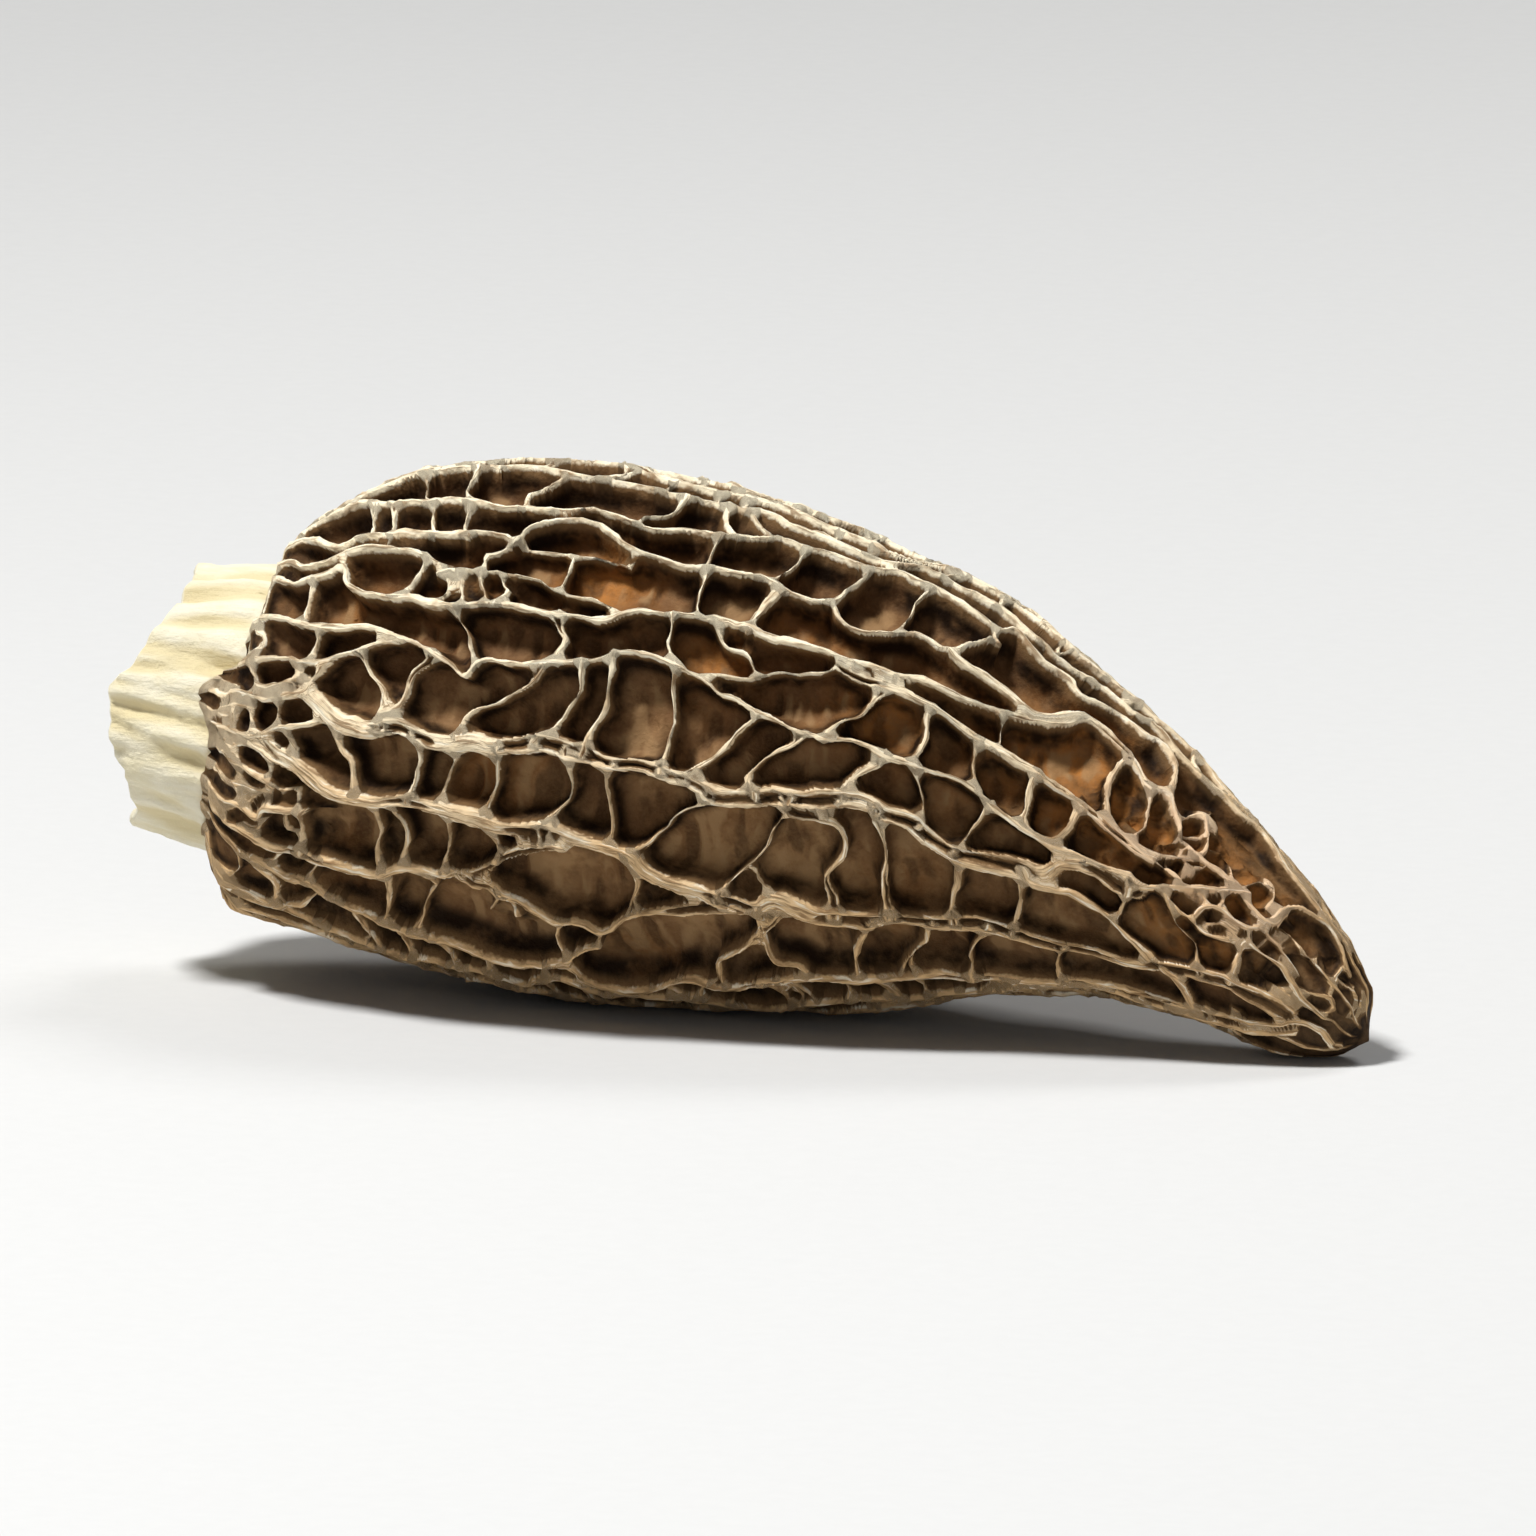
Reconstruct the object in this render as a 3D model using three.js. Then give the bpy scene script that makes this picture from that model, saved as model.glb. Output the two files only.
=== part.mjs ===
// A dried morel mushroom, cut short at the stem and lying on its side.
//
// One grown piece: a long, bent, conical cap covered in ribs and pits, fused at its lower margin to a short pale stem.
// The stem is hollow, and its bore opens into one hollow that runs up inside the cap and ends before the tip.
// It rests on the rib crests of its belly and on the underside of its tip.
//
// Millimetres, +Z up, +X from the cut stem to the tip, origin at the middle of the bottom of its bounding box.

import * as THREE from "three";

// Driving dimensions, in mm. x is measured along the mushroom from the middle of the stem's cut face.
// [x, y, z, crest radius]: the centreline and the radius over the rib crests.
const FORM = [
  [-1.0, -0.1, 14.1, 6.45],
  [0.0, -0.1, 14.05, 6.4],
  [2.6, 0.0, 13.85, 6.9],
  [4.7, 0.1, 13.65, 7.6],
  [6.75, 0.2, 13.35, 9.35],
  [9.9, 0.4, 13.5, 11.0],
  [14.0, 0.6, 13.72, 12.3],
  [18.0, 0.7, 13.78, 12.88],
  [22.0, 0.75, 13.55, 13.15],
  [26.0, 0.7, 13.15, 13.05],
  [30.0, 0.6, 12.78, 12.6],
  [34.0, 0.4, 12.4, 12.0],
  [38.0, 0.1, 11.95, 11.15],
  [42.0, -0.2, 11.3, 10.0],
  [45.8, -0.55, 10.4, 8.5],
  [49.8, -1.0, 9.2, 7.1],
  [52.7, -1.3, 8.0, 6.05],
  [55.6, -1.5, 6.55, 5.15],
  [57.6, -1.55, 5.4, 4.5],
  [59.5, -1.55, 4.05, 3.75],
  [61.0, -1.5, 2.95, 2.95],
  [62.3, -1.4, 2.05, 1.9],
  [63.2, -1.35, 1.5, 0.0],
];
// [x, radius] of the hollow, about the same centreline.
const HOLLOW = [
  [-1.0, 5.6],
  [0.0, 5.6],
  [3.0, 5.95],
  [6.0, 6.6],
  [9.0, 7.9],
  [13.0, 9.2],
  [20.0, 9.9],
  [26.0, 9.8],
  [34.0, 8.8],
  [42.0, 6.7],
  [47.0, 4.6],
  [51.0, 2.7],
  [53.4, 1.2],
  [54.4, 0.0],
];
const MARGIN_X = 4.7; // where the cap's lower margin meets the stem
const CUT_TILT = 0.17; // the cut face leans: its top edge lies this share of the radius further up the mushroom
const BELLY_WIDEN = 1.03; // half width over half height of the cap
const RIBS = 18; // main ribs round the cap
const RIB_PHASE = 1; // degrees: puts a rib either side of the line it lies on
const PIT_DEPTH = 2.1; // crest to pit floor on the belly
const RUNG_DEPTH = 0.95; // crest to the top of a cross rib
const RUNG_STEP = 1.45; // from a cross rib to the middle of the next pit, along the mushroom
const CREST_HALF = 0.16; // share of a rib's pitch from its crest to the edge of the pit floor
const GROUND = 0.5; // height of the surface that it lies on, below which the lowest crests are pressed flat

const rad = THREE.MathUtils.degToRad;

// Smooth curve through a table of [x, ...values], by Hermite spans with central slopes.
function through(table, x, column) {
  const n = table.length;
  const X = Math.min(Math.max(x, table[0][0]), table[n - 1][0]);
  let i = 0;
  while (i < n - 2 && X > table[i + 1][0]) i++;
  const slope = (k) => {
    const a = Math.max(k - 1, 0);
    const b = Math.min(k + 1, n - 1);
    return (table[b][column] - table[a][column]) / (table[b][0] - table[a][0]);
  };
  const h = table[i + 1][0] - table[i][0];
  const t = (X - table[i][0]) / h;
  const t2 = t * t;
  const t3 = t2 * t;
  return (
    (2 * t3 - 3 * t2 + 1) * table[i][column] +
    (t3 - 2 * t2 + t) * h * slope(i) +
    (3 * t2 - 2 * t3) * table[i + 1][column] +
    (t3 - t2) * h * slope(i + 1)
  );
}

const smooth = (a, b, x) => THREE.MathUtils.smoothstep(x, a, b);

// The centreline as a three.js curve, straight in x, so that its tangents give the frame of each section.
class Spine extends THREE.Curve {
  constructor(table) {
    super();
    this.table = table;
    this.low = table[0][0];
    this.high = table[table.length - 1][0];
  }
  getPoint(t, target = new THREE.Vector3()) {
    const x = this.low + t * (this.high - this.low);
    return target.set(x, through(this.table, x, 1), through(this.table, x, 2));
  }
}
const spine = new Spine(FORM);
const along = (x) => (x - spine.low) / (spine.high - spine.low);
const UP = new THREE.Vector3(0, 0, 1);

// A point at angle phi (0 towards +Y, a quarter turn at the top) and the given radius round the centreline at x.
function place(x, phi, radius, widen) {
  const t = along(x);
  const centre = spine.getPoint(t);
  const a = spine.getPoint(Math.max(t - 0.004, 0));
  const b = spine.getPoint(Math.min(t + 0.004, 1));
  const tangent = b.sub(a).normalize();
  const side = new THREE.Vector3().crossVectors(UP, tangent).normalize();
  const up = new THREE.Vector3().crossVectors(tangent, side).normalize();
  return centre
    .addScaledVector(side, Math.cos(phi) * radius * widen)
    .addScaledVector(up, Math.sin(phi) * radius);
}

// The cut face and the cap's margin lean together, and the lean dies out along the cap.
const lean = (x, phi, radius) =>
  x + CUT_TILT * radius * Math.sin(phi) * (1 - smooth(5, 15, x));

// Profile rows of the outside, from the tip down to the cut face.
const outerRows = [63.2, 62.6, 61.6, 60.4];
for (let x = 59.0; x > MARGIN_X + 1.9; x -= RUNG_STEP) outerRows.push(x);
const ribbedRows = outerRows.length;
outerRows.push(5.4, MARGIN_X, 3.2, 1.6, 0.0);
// Rows of the hollow, from the cut face up to its blind end.
const innerRows = [0.0, 2.2, 4.6, 7.0, 9.5, 13.0, 17.5, 22.0, 27.0, 32.0, 37.0, 41.5, 45.5, 49.0, 52.0, 53.7, 54.4];

// Columns round the mushroom: a rib crest and the two edges of the pit floor beside it.
const COLUMNS = RIBS * 3;
const wander = (rib, x) =>
  0.16 * Math.sin(x / 7.5 + rib * 2.4) + 0.11 * Math.sin(x / 3.4 + rib * 4.1);
function column(i, x) {
  const rib = Math.floor(i / 3);
  const kind = i % 3;
  const at = (k) => k + wander(k % RIBS, x) * smooth(6, 14, x) * (1 - smooth(55, 62, x));
  const here = at(rib);
  const next = at(rib + 1);
  const share = kind === 0 ? 0 : kind === 1 ? CREST_HALF * 1.6 : 1 - CREST_HALF * 1.6;
  const turn = (here + (next - here) * share) / RIBS;
  return { rib, kind, phi: rad(RIB_PHASE) + turn * Math.PI * 2 };
}

function outside(row, i) {
  const x = outerRows[row];
  const { rib, kind, phi } = column(i, x);
  const crest = Math.max(through(FORM, x, 3), 0);
  if (row === 0) return place(x, phi, 0, 1);
  if (x <= MARGIN_X) {
    const flute = 1 + 0.018 * Math.sin(phi * 11) + 0.012 * Math.sin(phi * 7 + 1.3);
    return place(lean(x, phi, crest), phi, crest * flute, 1 + 0.02 * smooth(0, 4, x));
  }
  const relief = smooth(MARGIN_X + 0.3, 9.5, x) * (1 - 0.55 * smooth(44, 60, x)) * Math.min(1, crest / 3.2);
  const rung = (row + rib) % 2 === 0 && row < ribbedRows;
  const depth = kind === 0 ? 0.12 * Math.sin(x * 1.9 + rib * 1.7) + 0.1 : rung ? RUNG_DEPTH : PIT_DEPTH;
  const widen = 1 + (BELLY_WIDEN - 1) * smooth(6, 16, x) * (1 - smooth(48, 60, x));
  return place(lean(x, phi, crest), phi, crest - depth * relief, widen);
}

function inside(row, i) {
  const x = innerRows[row];
  const phi = rad(RIB_PHASE) + (i / COLUMNS) * Math.PI * 2;
  const radius = Math.max(through(HOLLOW, x, 1), 0);
  return place(lean(x, phi, radius), phi, row === innerRows.length - 1 ? 0 : radius, 1.02);
}

// The turned body: a profile of the outside and the hollow, then every vertex moved to its place.
const rows = outerRows.length + innerRows.length;
const profile = [];
for (let j = 0; j < rows; j++)
  profile.push(new THREE.Vector2(j === 0 || j === rows - 1 ? 0 : 5, j));
const geometry = new THREE.LatheGeometry(profile, COLUMNS);
const position = geometry.getAttribute("position");
for (let i = 0; i <= COLUMNS; i++)
  for (let j = 0; j < rows; j++) {
    const c = (COLUMNS - i) % COLUMNS;
    const p = j < outerRows.length ? outside(j, c) : inside(j - outerRows.length, c);
    position.setXYZ(i * rows + j, p.x, p.y, Math.max(p.z, GROUND));
  }
// Lay it on the ground and put the origin at the middle of the bottom of its box.
geometry.computeBoundingBox();
const box = geometry.boundingBox;
const middle = box.getCenter(new THREE.Vector3());
geometry.translate(-middle.x, -middle.y, -box.min.z);
geometry.computeVertexNormals();

const flesh = new THREE.MeshStandardMaterial({
  name: "dried_flesh",
  color: new THREE.Color(0.33, 0.245, 0.165),
  roughness: 0.85,
  metalness: 0,
});
const morel = new THREE.Mesh(geometry, flesh);
morel.name = "morel_mushroom";

const part = new THREE.Group();
part.name = "dried_morel";
part.add(morel);

export default part;
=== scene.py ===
# A dried morel mushroom with a short cut stem, lying on its side on a pale floor.
#
# The cap's surface is a net of ribs over deep pits. Each rib is a line on the crest surface, given as [x mm, angle degrees]:
# x runs from the middle of the cut stem to the tip, and the angle goes round the mushroom, 0 towards +Y, 90 at the top, 180 towards -Y.
# A fine grid over the crest surface is pressed in between the ribs, wall by wall, and closed by the hollow inside.

import math

import bpy
import numpy as np
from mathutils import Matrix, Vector


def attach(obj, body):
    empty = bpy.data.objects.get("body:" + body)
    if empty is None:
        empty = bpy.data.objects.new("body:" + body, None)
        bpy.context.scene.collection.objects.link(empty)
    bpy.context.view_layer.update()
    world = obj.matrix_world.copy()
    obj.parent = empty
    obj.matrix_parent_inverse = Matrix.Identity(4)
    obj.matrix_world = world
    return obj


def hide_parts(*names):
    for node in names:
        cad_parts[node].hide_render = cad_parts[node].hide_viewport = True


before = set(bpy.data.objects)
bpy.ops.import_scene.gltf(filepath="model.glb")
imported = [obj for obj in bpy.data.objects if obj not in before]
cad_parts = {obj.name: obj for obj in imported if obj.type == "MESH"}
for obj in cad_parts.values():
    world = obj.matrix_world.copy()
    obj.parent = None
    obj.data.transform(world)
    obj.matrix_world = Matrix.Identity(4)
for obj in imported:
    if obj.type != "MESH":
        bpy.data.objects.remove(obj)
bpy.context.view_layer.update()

NODE = "morel_mushroom"

# [x, y, z, crest radius], mm: the centreline and the radius over the rib crests.
FORM = np.array([
    [-1.0, -0.1, 14.1, 6.45], [0.0, -0.1, 14.05, 6.4], [2.6, 0.0, 13.85, 6.9], [4.7, 0.1, 13.65, 7.6],
    [6.75, 0.2, 13.35, 9.35], [9.9, 0.4, 13.5, 11.0], [14.0, 0.6, 13.72, 12.3], [18.0, 0.7, 13.78, 12.88],
    [22.0, 0.75, 13.55, 13.15], [26.0, 0.7, 13.15, 13.05], [30.0, 0.6, 12.78, 12.6], [34.0, 0.4, 12.4, 12.0],
    [38.0, 0.1, 11.95, 11.15], [42.0, -0.2, 11.3, 10.0], [45.8, -0.55, 10.4, 8.5], [49.8, -1.0, 9.2, 7.1],
    [52.7, -1.3, 8.0, 6.05], [55.6, -1.5, 6.55, 5.15], [57.6, -1.55, 5.4, 4.5], [59.5, -1.55, 4.05, 3.75],
    [61.0, -1.5, 2.95, 2.95], [62.3, -1.4, 2.05, 1.9], [63.2, -1.35, 1.5, 0.0],
])
# [x, radius] of the hollow.
HOLLOW = np.array([
    [-1.0, 5.6], [0.0, 5.6], [3.0, 5.95], [6.0, 6.6], [9.0, 7.9], [13.0, 9.2], [20.0, 9.9], [26.0, 9.8],
    [34.0, 8.8], [42.0, 6.7], [47.0, 4.6], [51.0, 2.7], [53.4, 1.2], [54.4, 0.0],
])
ORIGIN = np.array([30.950, 0.7258, 0.5])  # the part's origin in the frame of FORM, mm
CUT_TILT = 0.17
PIT_DEPTH = 2.1
TIP_X = 63.2
# [angle, x] of the cap's wavy lower margin and of the stem's cut edge.
MARGIN = np.array([
    [0, 5.6], [18, 6.1], [35, 5.3], [52, 5.8], [70, 5.2], [93, 5.1], [110, 5.6], [124.5, 5.9], [136, 5.9], [141, 5.5], [151, 6.0],
    [155, 5.1], [164.5, 4.5], [173, 5.0], [179.5, 5.7], [189, 6.0], [198, 5.9], [204.5, 6.1], [215.5, 6.4], [230, 6.0],
    [248, 6.4], [262, 5.5], [280, 5.9], [298, 5.1], [313, 5.7], [330, 6.0], [345, 5.2], [360, 5.6],
])
CUT = np.array([
    [0, 0.2], [25, -0.3], [48, 0.4], [66, 0.1], [78.5, -0.2], [100, 0.5], [126.5, 0.85], [146, 0.35], [160, -0.15], [167.5, -0.5],
    [175, -0.4], [186, -0.05], [200, 0.3], [205, 1.1], [221, 1.3], [234, 1.3], [250, 0.5], [272, 0.1], [290, 0.7],
    [312, 0.0], [335, -0.3], [348, 0.3], [360, 0.2],
])
# [angle, depth mm, half width degrees, drift degrees per mm] of the stem's flutes.
FLUTES = [
    (4, 0.42, 6.5, 1.0), (21, 0.14, 4.0, -0.8), (36, 0.52, 7.0, 0.6), (58, 0.2, 4.5, -1.2), (70, 0.3, 4.0, 0.5), (90, 0.13, 5.0, 0.9),
    (103, 0.34, 4.4, -0.6), (119, 0.52, 5.4, -1.0), (136, 0.3, 3.8, -0.7), (147, 0.44, 4.4, 1.2), (158, 0.28, 3.3, -0.6),
    (166, 0.16, 2.6, 0.8), (176, 0.42, 4.0, 0.4), (184, 0.26, 3.6, 1.9), (197, 0.2, 4.4, -0.9), (211, 0.14, 4.2, 1.2),
    (229, 0.36, 7.5, 0.6), (248, 0.16, 4.0, -0.8), (262, 0.1, 3.5, 0.7), (277, 0.5, 6.5, 0.5), (293, 0.2, 4.0, -1.0),
    (312, 0.44, 8.0, 0.8), (329, 0.14, 3.5, 0.4), (342, 0.3, 5.0, -0.6),
]
# Ribs of the near side: (half width mm, height share, [(x, angle), ...]).
RIDGES = [
    (0.26, 1.00, [(5, 93), (7.6, 93), (11.1, 99.5), (13, 99.5), (14.4, 97), (15.7, 95), (16.9, 94), (19.3, 94), (20.9, 98), (23.6, 97.5), (25.2, 98), (26.9, 98), (29.7, 94.5), (30.7, 92.5), (32.2, 95.5), (33.8, 95), (35.4, 96.5), (36.5, 96.5), (37.4, 95), (38.2, 88), (39.7, 88.5), (41.2, 87.5), (42.7, 88.5), (44.1, 89.5), (45.8, 87), (47, 83), (48.7, 85), (50, 84), (51.1, 88), (52, 87.5), (53.5, 89), (54.6, 88), (55.3, 84.5), (56.7, 92.5), (58.7, 97.5), (60.5, 93)]),
    (0.22, 1.00, [(5.1, 100), (8, 101.5), (11.9, 108), (14, 112.5), (17, 113.5), (18.2, 114), (19.6, 115.5), (21, 115.5), (22.4, 115), (23.3, 113), (24.3, 114), (25.9, 115), (27.1, 115), (28.4, 112.5), (29.8, 110.5), (31.4, 107.5), (32.6, 104.5), (34, 104.5), (35.2, 102.5), (36.4, 103), (37.2, 100.5), (37.9, 97), (38.8, 97.5), (39.9, 97.5), (40.9, 98), (41.9, 98), (42.8, 98.5), (43.2, 93.5), (44.4, 97), (45.2, 97.5), (46, 95.5), (46.9, 99), (47.9, 97), (48.9, 94.5), (49.8, 95), (50.6, 92.5), (51.5, 100), (52, 111)]),
    (0.26, 1.00, [(5.3, 106), (8.2, 114), (11.3, 124.5), (13.2, 124), (15, 125), (16.4, 125), (17.7, 125), (18.9, 124.5), (20, 124.5), (20.7, 126.5)]),
    (0.24, 1.00, [(20.7, 126.5), (21.2, 121.5), (22.4, 118), (23.7, 117.5), (24.9, 119.5), (26.5, 122.5), (27.8, 123.5), (29.5, 123.5), (30.9, 121.5), (32.2, 120.5), (33.3, 120), (34.5, 121.5), (35.9, 121.5), (36.8, 120.5), (37.5, 124.5), (38.4, 125), (39.3, 122.5), (40.2, 119), (41.2, 118), (42, 118.5), (42.4, 112.5), (42.8, 105.5)]),
    (0.20, 0.62, [(20.7, 126.5), (21.9, 126), (23.3, 125.5), (24.8, 125.5), (26.6, 126)]),
    (0.26, 1.00, [(42, 118.5), (42.6, 120), (43.6, 119.5), (44.7, 120), (45.6, 121), (46.5, 120.5), (47.2, 116), (47.8, 109.5)]),
    (0.26, 1.00, [(5.6, 112), (7, 119), (9.2, 127.5), (11.6, 129), (13.5, 128.5), (15.2, 129), (16.1, 129.5), (17, 131.5), (17.8, 133), (18.1, 130), (18.4, 128)]),
    (0.20, 0.90, [(17.7, 135.5), (18.3, 134.5), (19.6, 134.5), (21.1, 134.5), (22.4, 135.5), (23.6, 137.5), (24.5, 138), (25.7, 137.5), (26.5, 138), (27.1, 139)]),
    (0.28, 1.00, [(5.7, 121), (7, 126), (8.8, 132.5), (10.2, 133.5), (11.6, 134.5), (12.5, 133), (13.4, 138.5), (14.6, 141.5), (16, 143), (17.1, 143), (18, 143.5), (18.8, 144.5), (20.2, 143.5), (21.7, 143), (23.2, 143), (24.8, 142.5), (26.4, 142), (27.8, 139.5), (29.1, 137), (30.7, 136), (32.2, 135), (33.7, 135), (35.3, 135.5), (36.8, 135), (38.1, 135), (39.4, 134.5), (40.7, 133.5), (41.9, 132), (43.2, 131), (44.5, 129.5), (45.6, 126), (46.8, 122), (47.7, 116), (48, 109), (48.7, 108), (49.8, 110), (50.7, 114.5), (51.5, 118.5), (52.1, 114), (52.9, 121), (53.4, 127)]),
    (0.27, 1.00, [(6, 140.5), (7.3, 141.5), (8.8, 144), (10.7, 147.5), (12.8, 149), (14.7, 149.5), (16, 151), (17.4, 153), (18.5, 155.5), (19.6, 157.5), (20.5, 160), (21, 156), (21.7, 155), (22.6, 155.5), (24.1, 155), (25.6, 153), (26.8, 151.5), (27.7, 149.5), (28.9, 148), (30, 148), (31.2, 148.5), (32.3, 150.5), (33.6, 152), (34.4, 152), (35.5, 154), (36.8, 156), (37.8, 157), (38.7, 157), (39.7, 156), (40.8, 155.5), (42, 156.5), (42.9, 156), (43.7, 156), (44.6, 155), (45.4, 155.5), (46.3, 157), (47.1, 159.5), (48.1, 162), (49.2, 163.5), (50.2, 163.5), (51.1, 163), (51.9, 162), (52.7, 159), (53.2, 161.5), (53.8, 159), (54.5, 153), (55.3, 145.5), (56, 138.5), (56.8, 132.5)]),
    (0.20, 0.85, [(32.2, 149), (33.2, 147.5), (34.7, 146.5), (36, 143.5), (37.3, 142), (38.1, 140), (38.4, 136.5)]),
    (0.34, 1.00, [(38.5, 137.5), (39.6, 139), (40.7, 138), (41.8, 138), (42.9, 138), (43.7, 138.5), (44.8, 140), (45.9, 141), (46.8, 141), (48, 141.5), (49.1, 142), (50.1, 143), (50.9, 144.5), (51.8, 146), (52.6, 148), (53.3, 148)]),
    (0.26, 0.85, [(51, 141.5), (52.1, 143.5), (52.9, 144), (53.5, 142), (54.4, 134.5)]),
    (0.22, 1.00, [(6.4, 153.5), (8.3, 154.5), (9.9, 155.5), (11.3, 157), (12.7, 157.5), (13.8, 156.5), (14.9, 155), (16, 153.5), (17, 153)]),
    (0.26, 1.00, [(5.3, 164), (6, 162.5), (7.6, 164.5), (9.4, 166), (10.6, 165.5), (11.4, 164.5), (12.2, 161), (13.1, 158)]),
    (0.52, 1.00, [(11.4, 164.5), (12.3, 167.5), (13.3, 170.5), (14.5, 172.5), (15.6, 173.5), (16.9, 172), (18, 173), (18.8, 174.5), (20.1, 174.5), (21.4, 173.5), (22.7, 174), (23.8, 173), (24.7, 171.5), (25.6, 171), (26.6, 172), (27.5, 172.5), (29.1, 172.5), (30.4, 172.5), (31.4, 173), (32.7, 174), (33.9, 175.5), (34.9, 176), (36.2, 175.5), (37.5, 174), (38.6, 173.5), (39.6, 171.5), (40.6, 171), (41.6, 170.5), (42.4, 172), (43.6, 173), (44.2, 174.5), (45.1, 177.5), (45.9, 179), (47, 178.5), (48.2, 177), (49, 176.5), (49.5, 176.5), (49.9, 174.5), (50.3, 169), (50.8, 167), (51.7, 165), (52.5, 165.5), (53.3, 163.5)]),
    (0.26, 1.00, [(49, 176.5), (49.5, 180.5), (50.4, 179), (51.2, 178), (52, 180), (52.8, 183), (53.6, 187), (54.4, 191), (55, 194.5)]),
    (0.22, 1.00, [(5.8, 175.5), (6.8, 174.5), (8.1, 176), (9.3, 175), (10.2, 173.5), (11.5, 172.5), (13.3, 171.5)]),
    (0.20, 1.00, [(6.4, 182.5), (7.4, 184), (8.4, 186), (9.2, 188)]),
    (0.48, 1.00, [(8.1, 176), (9.6, 180.5), (10.7, 182), (11.8, 185.5), (12.7, 188.5), (13.8, 190), (15.1, 189.5), (16.3, 189.5), (17.6, 188.5), (18.9, 189), (20.6, 189), (22, 190), (23.3, 191), (24.7, 190.5), (25.7, 190), (26.7, 190.5), (27.8, 191.5), (28.9, 192.5), (30.1, 194), (31.1, 197.5), (32.4, 200), (33.5, 201.5), (34.7, 203), (35.8, 204), (36.6, 204.5), (37.5, 201), (38.6, 203), (39.5, 205.5), (40.7, 206), (42.2, 206.5), (43.4, 205), (44.5, 204.5), (45.6, 205.5), (46.8, 204.5), (47.9, 203), (49, 204.5), (50.1, 206), (51.2, 206.5), (52, 205), (52.7, 204), (53.7, 204), (54.6, 201), (55.5, 196.5), (56.4, 193.5), (57.2, 191.5), (58.1, 187.5), (59, 186.5), (59.7, 185.5), (60.4, 184.5)]),
    (0.24, 0.80, [(12.8, 193.5), (14.2, 192), (16.8, 190.5)]),
    (0.26, 1.00, [(6.9, 197), (7.6, 197), (8.4, 199.5), (8.8, 196), (9.9, 194.5), (11.1, 195.5), (12.1, 197)]),
    (0.32, 1.00, [(7, 204), (7.7, 205), (8.5, 207), (9.4, 208), (10.9, 207.5), (12.2, 208.5), (13.5, 209.5), (15, 209), (16.6, 206), (18.2, 205.5), (19.3, 205.5), (20.8, 204), (22.3, 202), (23, 199.5), (24.5, 195.5), (25.5, 193.5), (26.6, 193.5)]),
    (0.34, 1.00, [(20.8, 204), (21.2, 206), (22.4, 206.5), (23.1, 208), (24.1, 209), (24.9, 211.5), (25.8, 213.5), (26.8, 213), (27.7, 214.5), (28.3, 215), (29.4, 211.5), (30.8, 208), (32.2, 206.5), (33.7, 206), (35.9, 205)]),
    (0.30, 1.00, [(7.3, 211.5), (7.9, 213.5), (8.7, 214.5), (9.5, 218), (10.8, 217), (11.6, 220.5), (12.5, 223), (13.7, 225), (14.9, 227), (16.7, 228), (18.7, 228.5), (20.6, 230), (22.3, 232), (24.3, 230), (25.8, 229), (26, 235), (26.7, 238), (28.1, 239), (29.9, 236), (31.8, 231), (33, 234.5), (34.5, 235), (35.9, 232), (37.5, 230), (39.1, 230), (40.5, 232.5), (42.2, 233), (43.7, 233), (45.2, 233), (46.4, 236.5), (48.2, 236.5), (50.6, 236), (52, 230), (53.5, 225), (54.8, 222), (56, 221), (57.1, 221.5), (58.3, 218.5), (59.3, 212), (60.2, 201), (60.8, 189.5), (61.8, 189.5), (62.6, 207.5)]),
    (0.26, 1.00, [(24.3, 230), (25.8, 226), (26.6, 222.5), (27.7, 220)]),
    (0.24, 1.00, [(6.6, 222), (8, 234), (10.1, 227.5), (11.4, 225)]),
    (0.26, 1.00, [(57.9, 157), (59, 156), (59.9, 162), (60.8, 167.5), (61.6, 172.5)]),
    (0.24, 1.00, [(57.9, 136), (58, 119), (58.7, 106.5), (59.5, 101), (60.3, 105.5), (61.2, 112.5)]),
    (0.20, 0.80, [(60.8, 117), (60.9, 134.5)]),
    (0.24, 1.00, [(55.6, 197), (56.4, 203), (57.2, 220)]),
]
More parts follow.
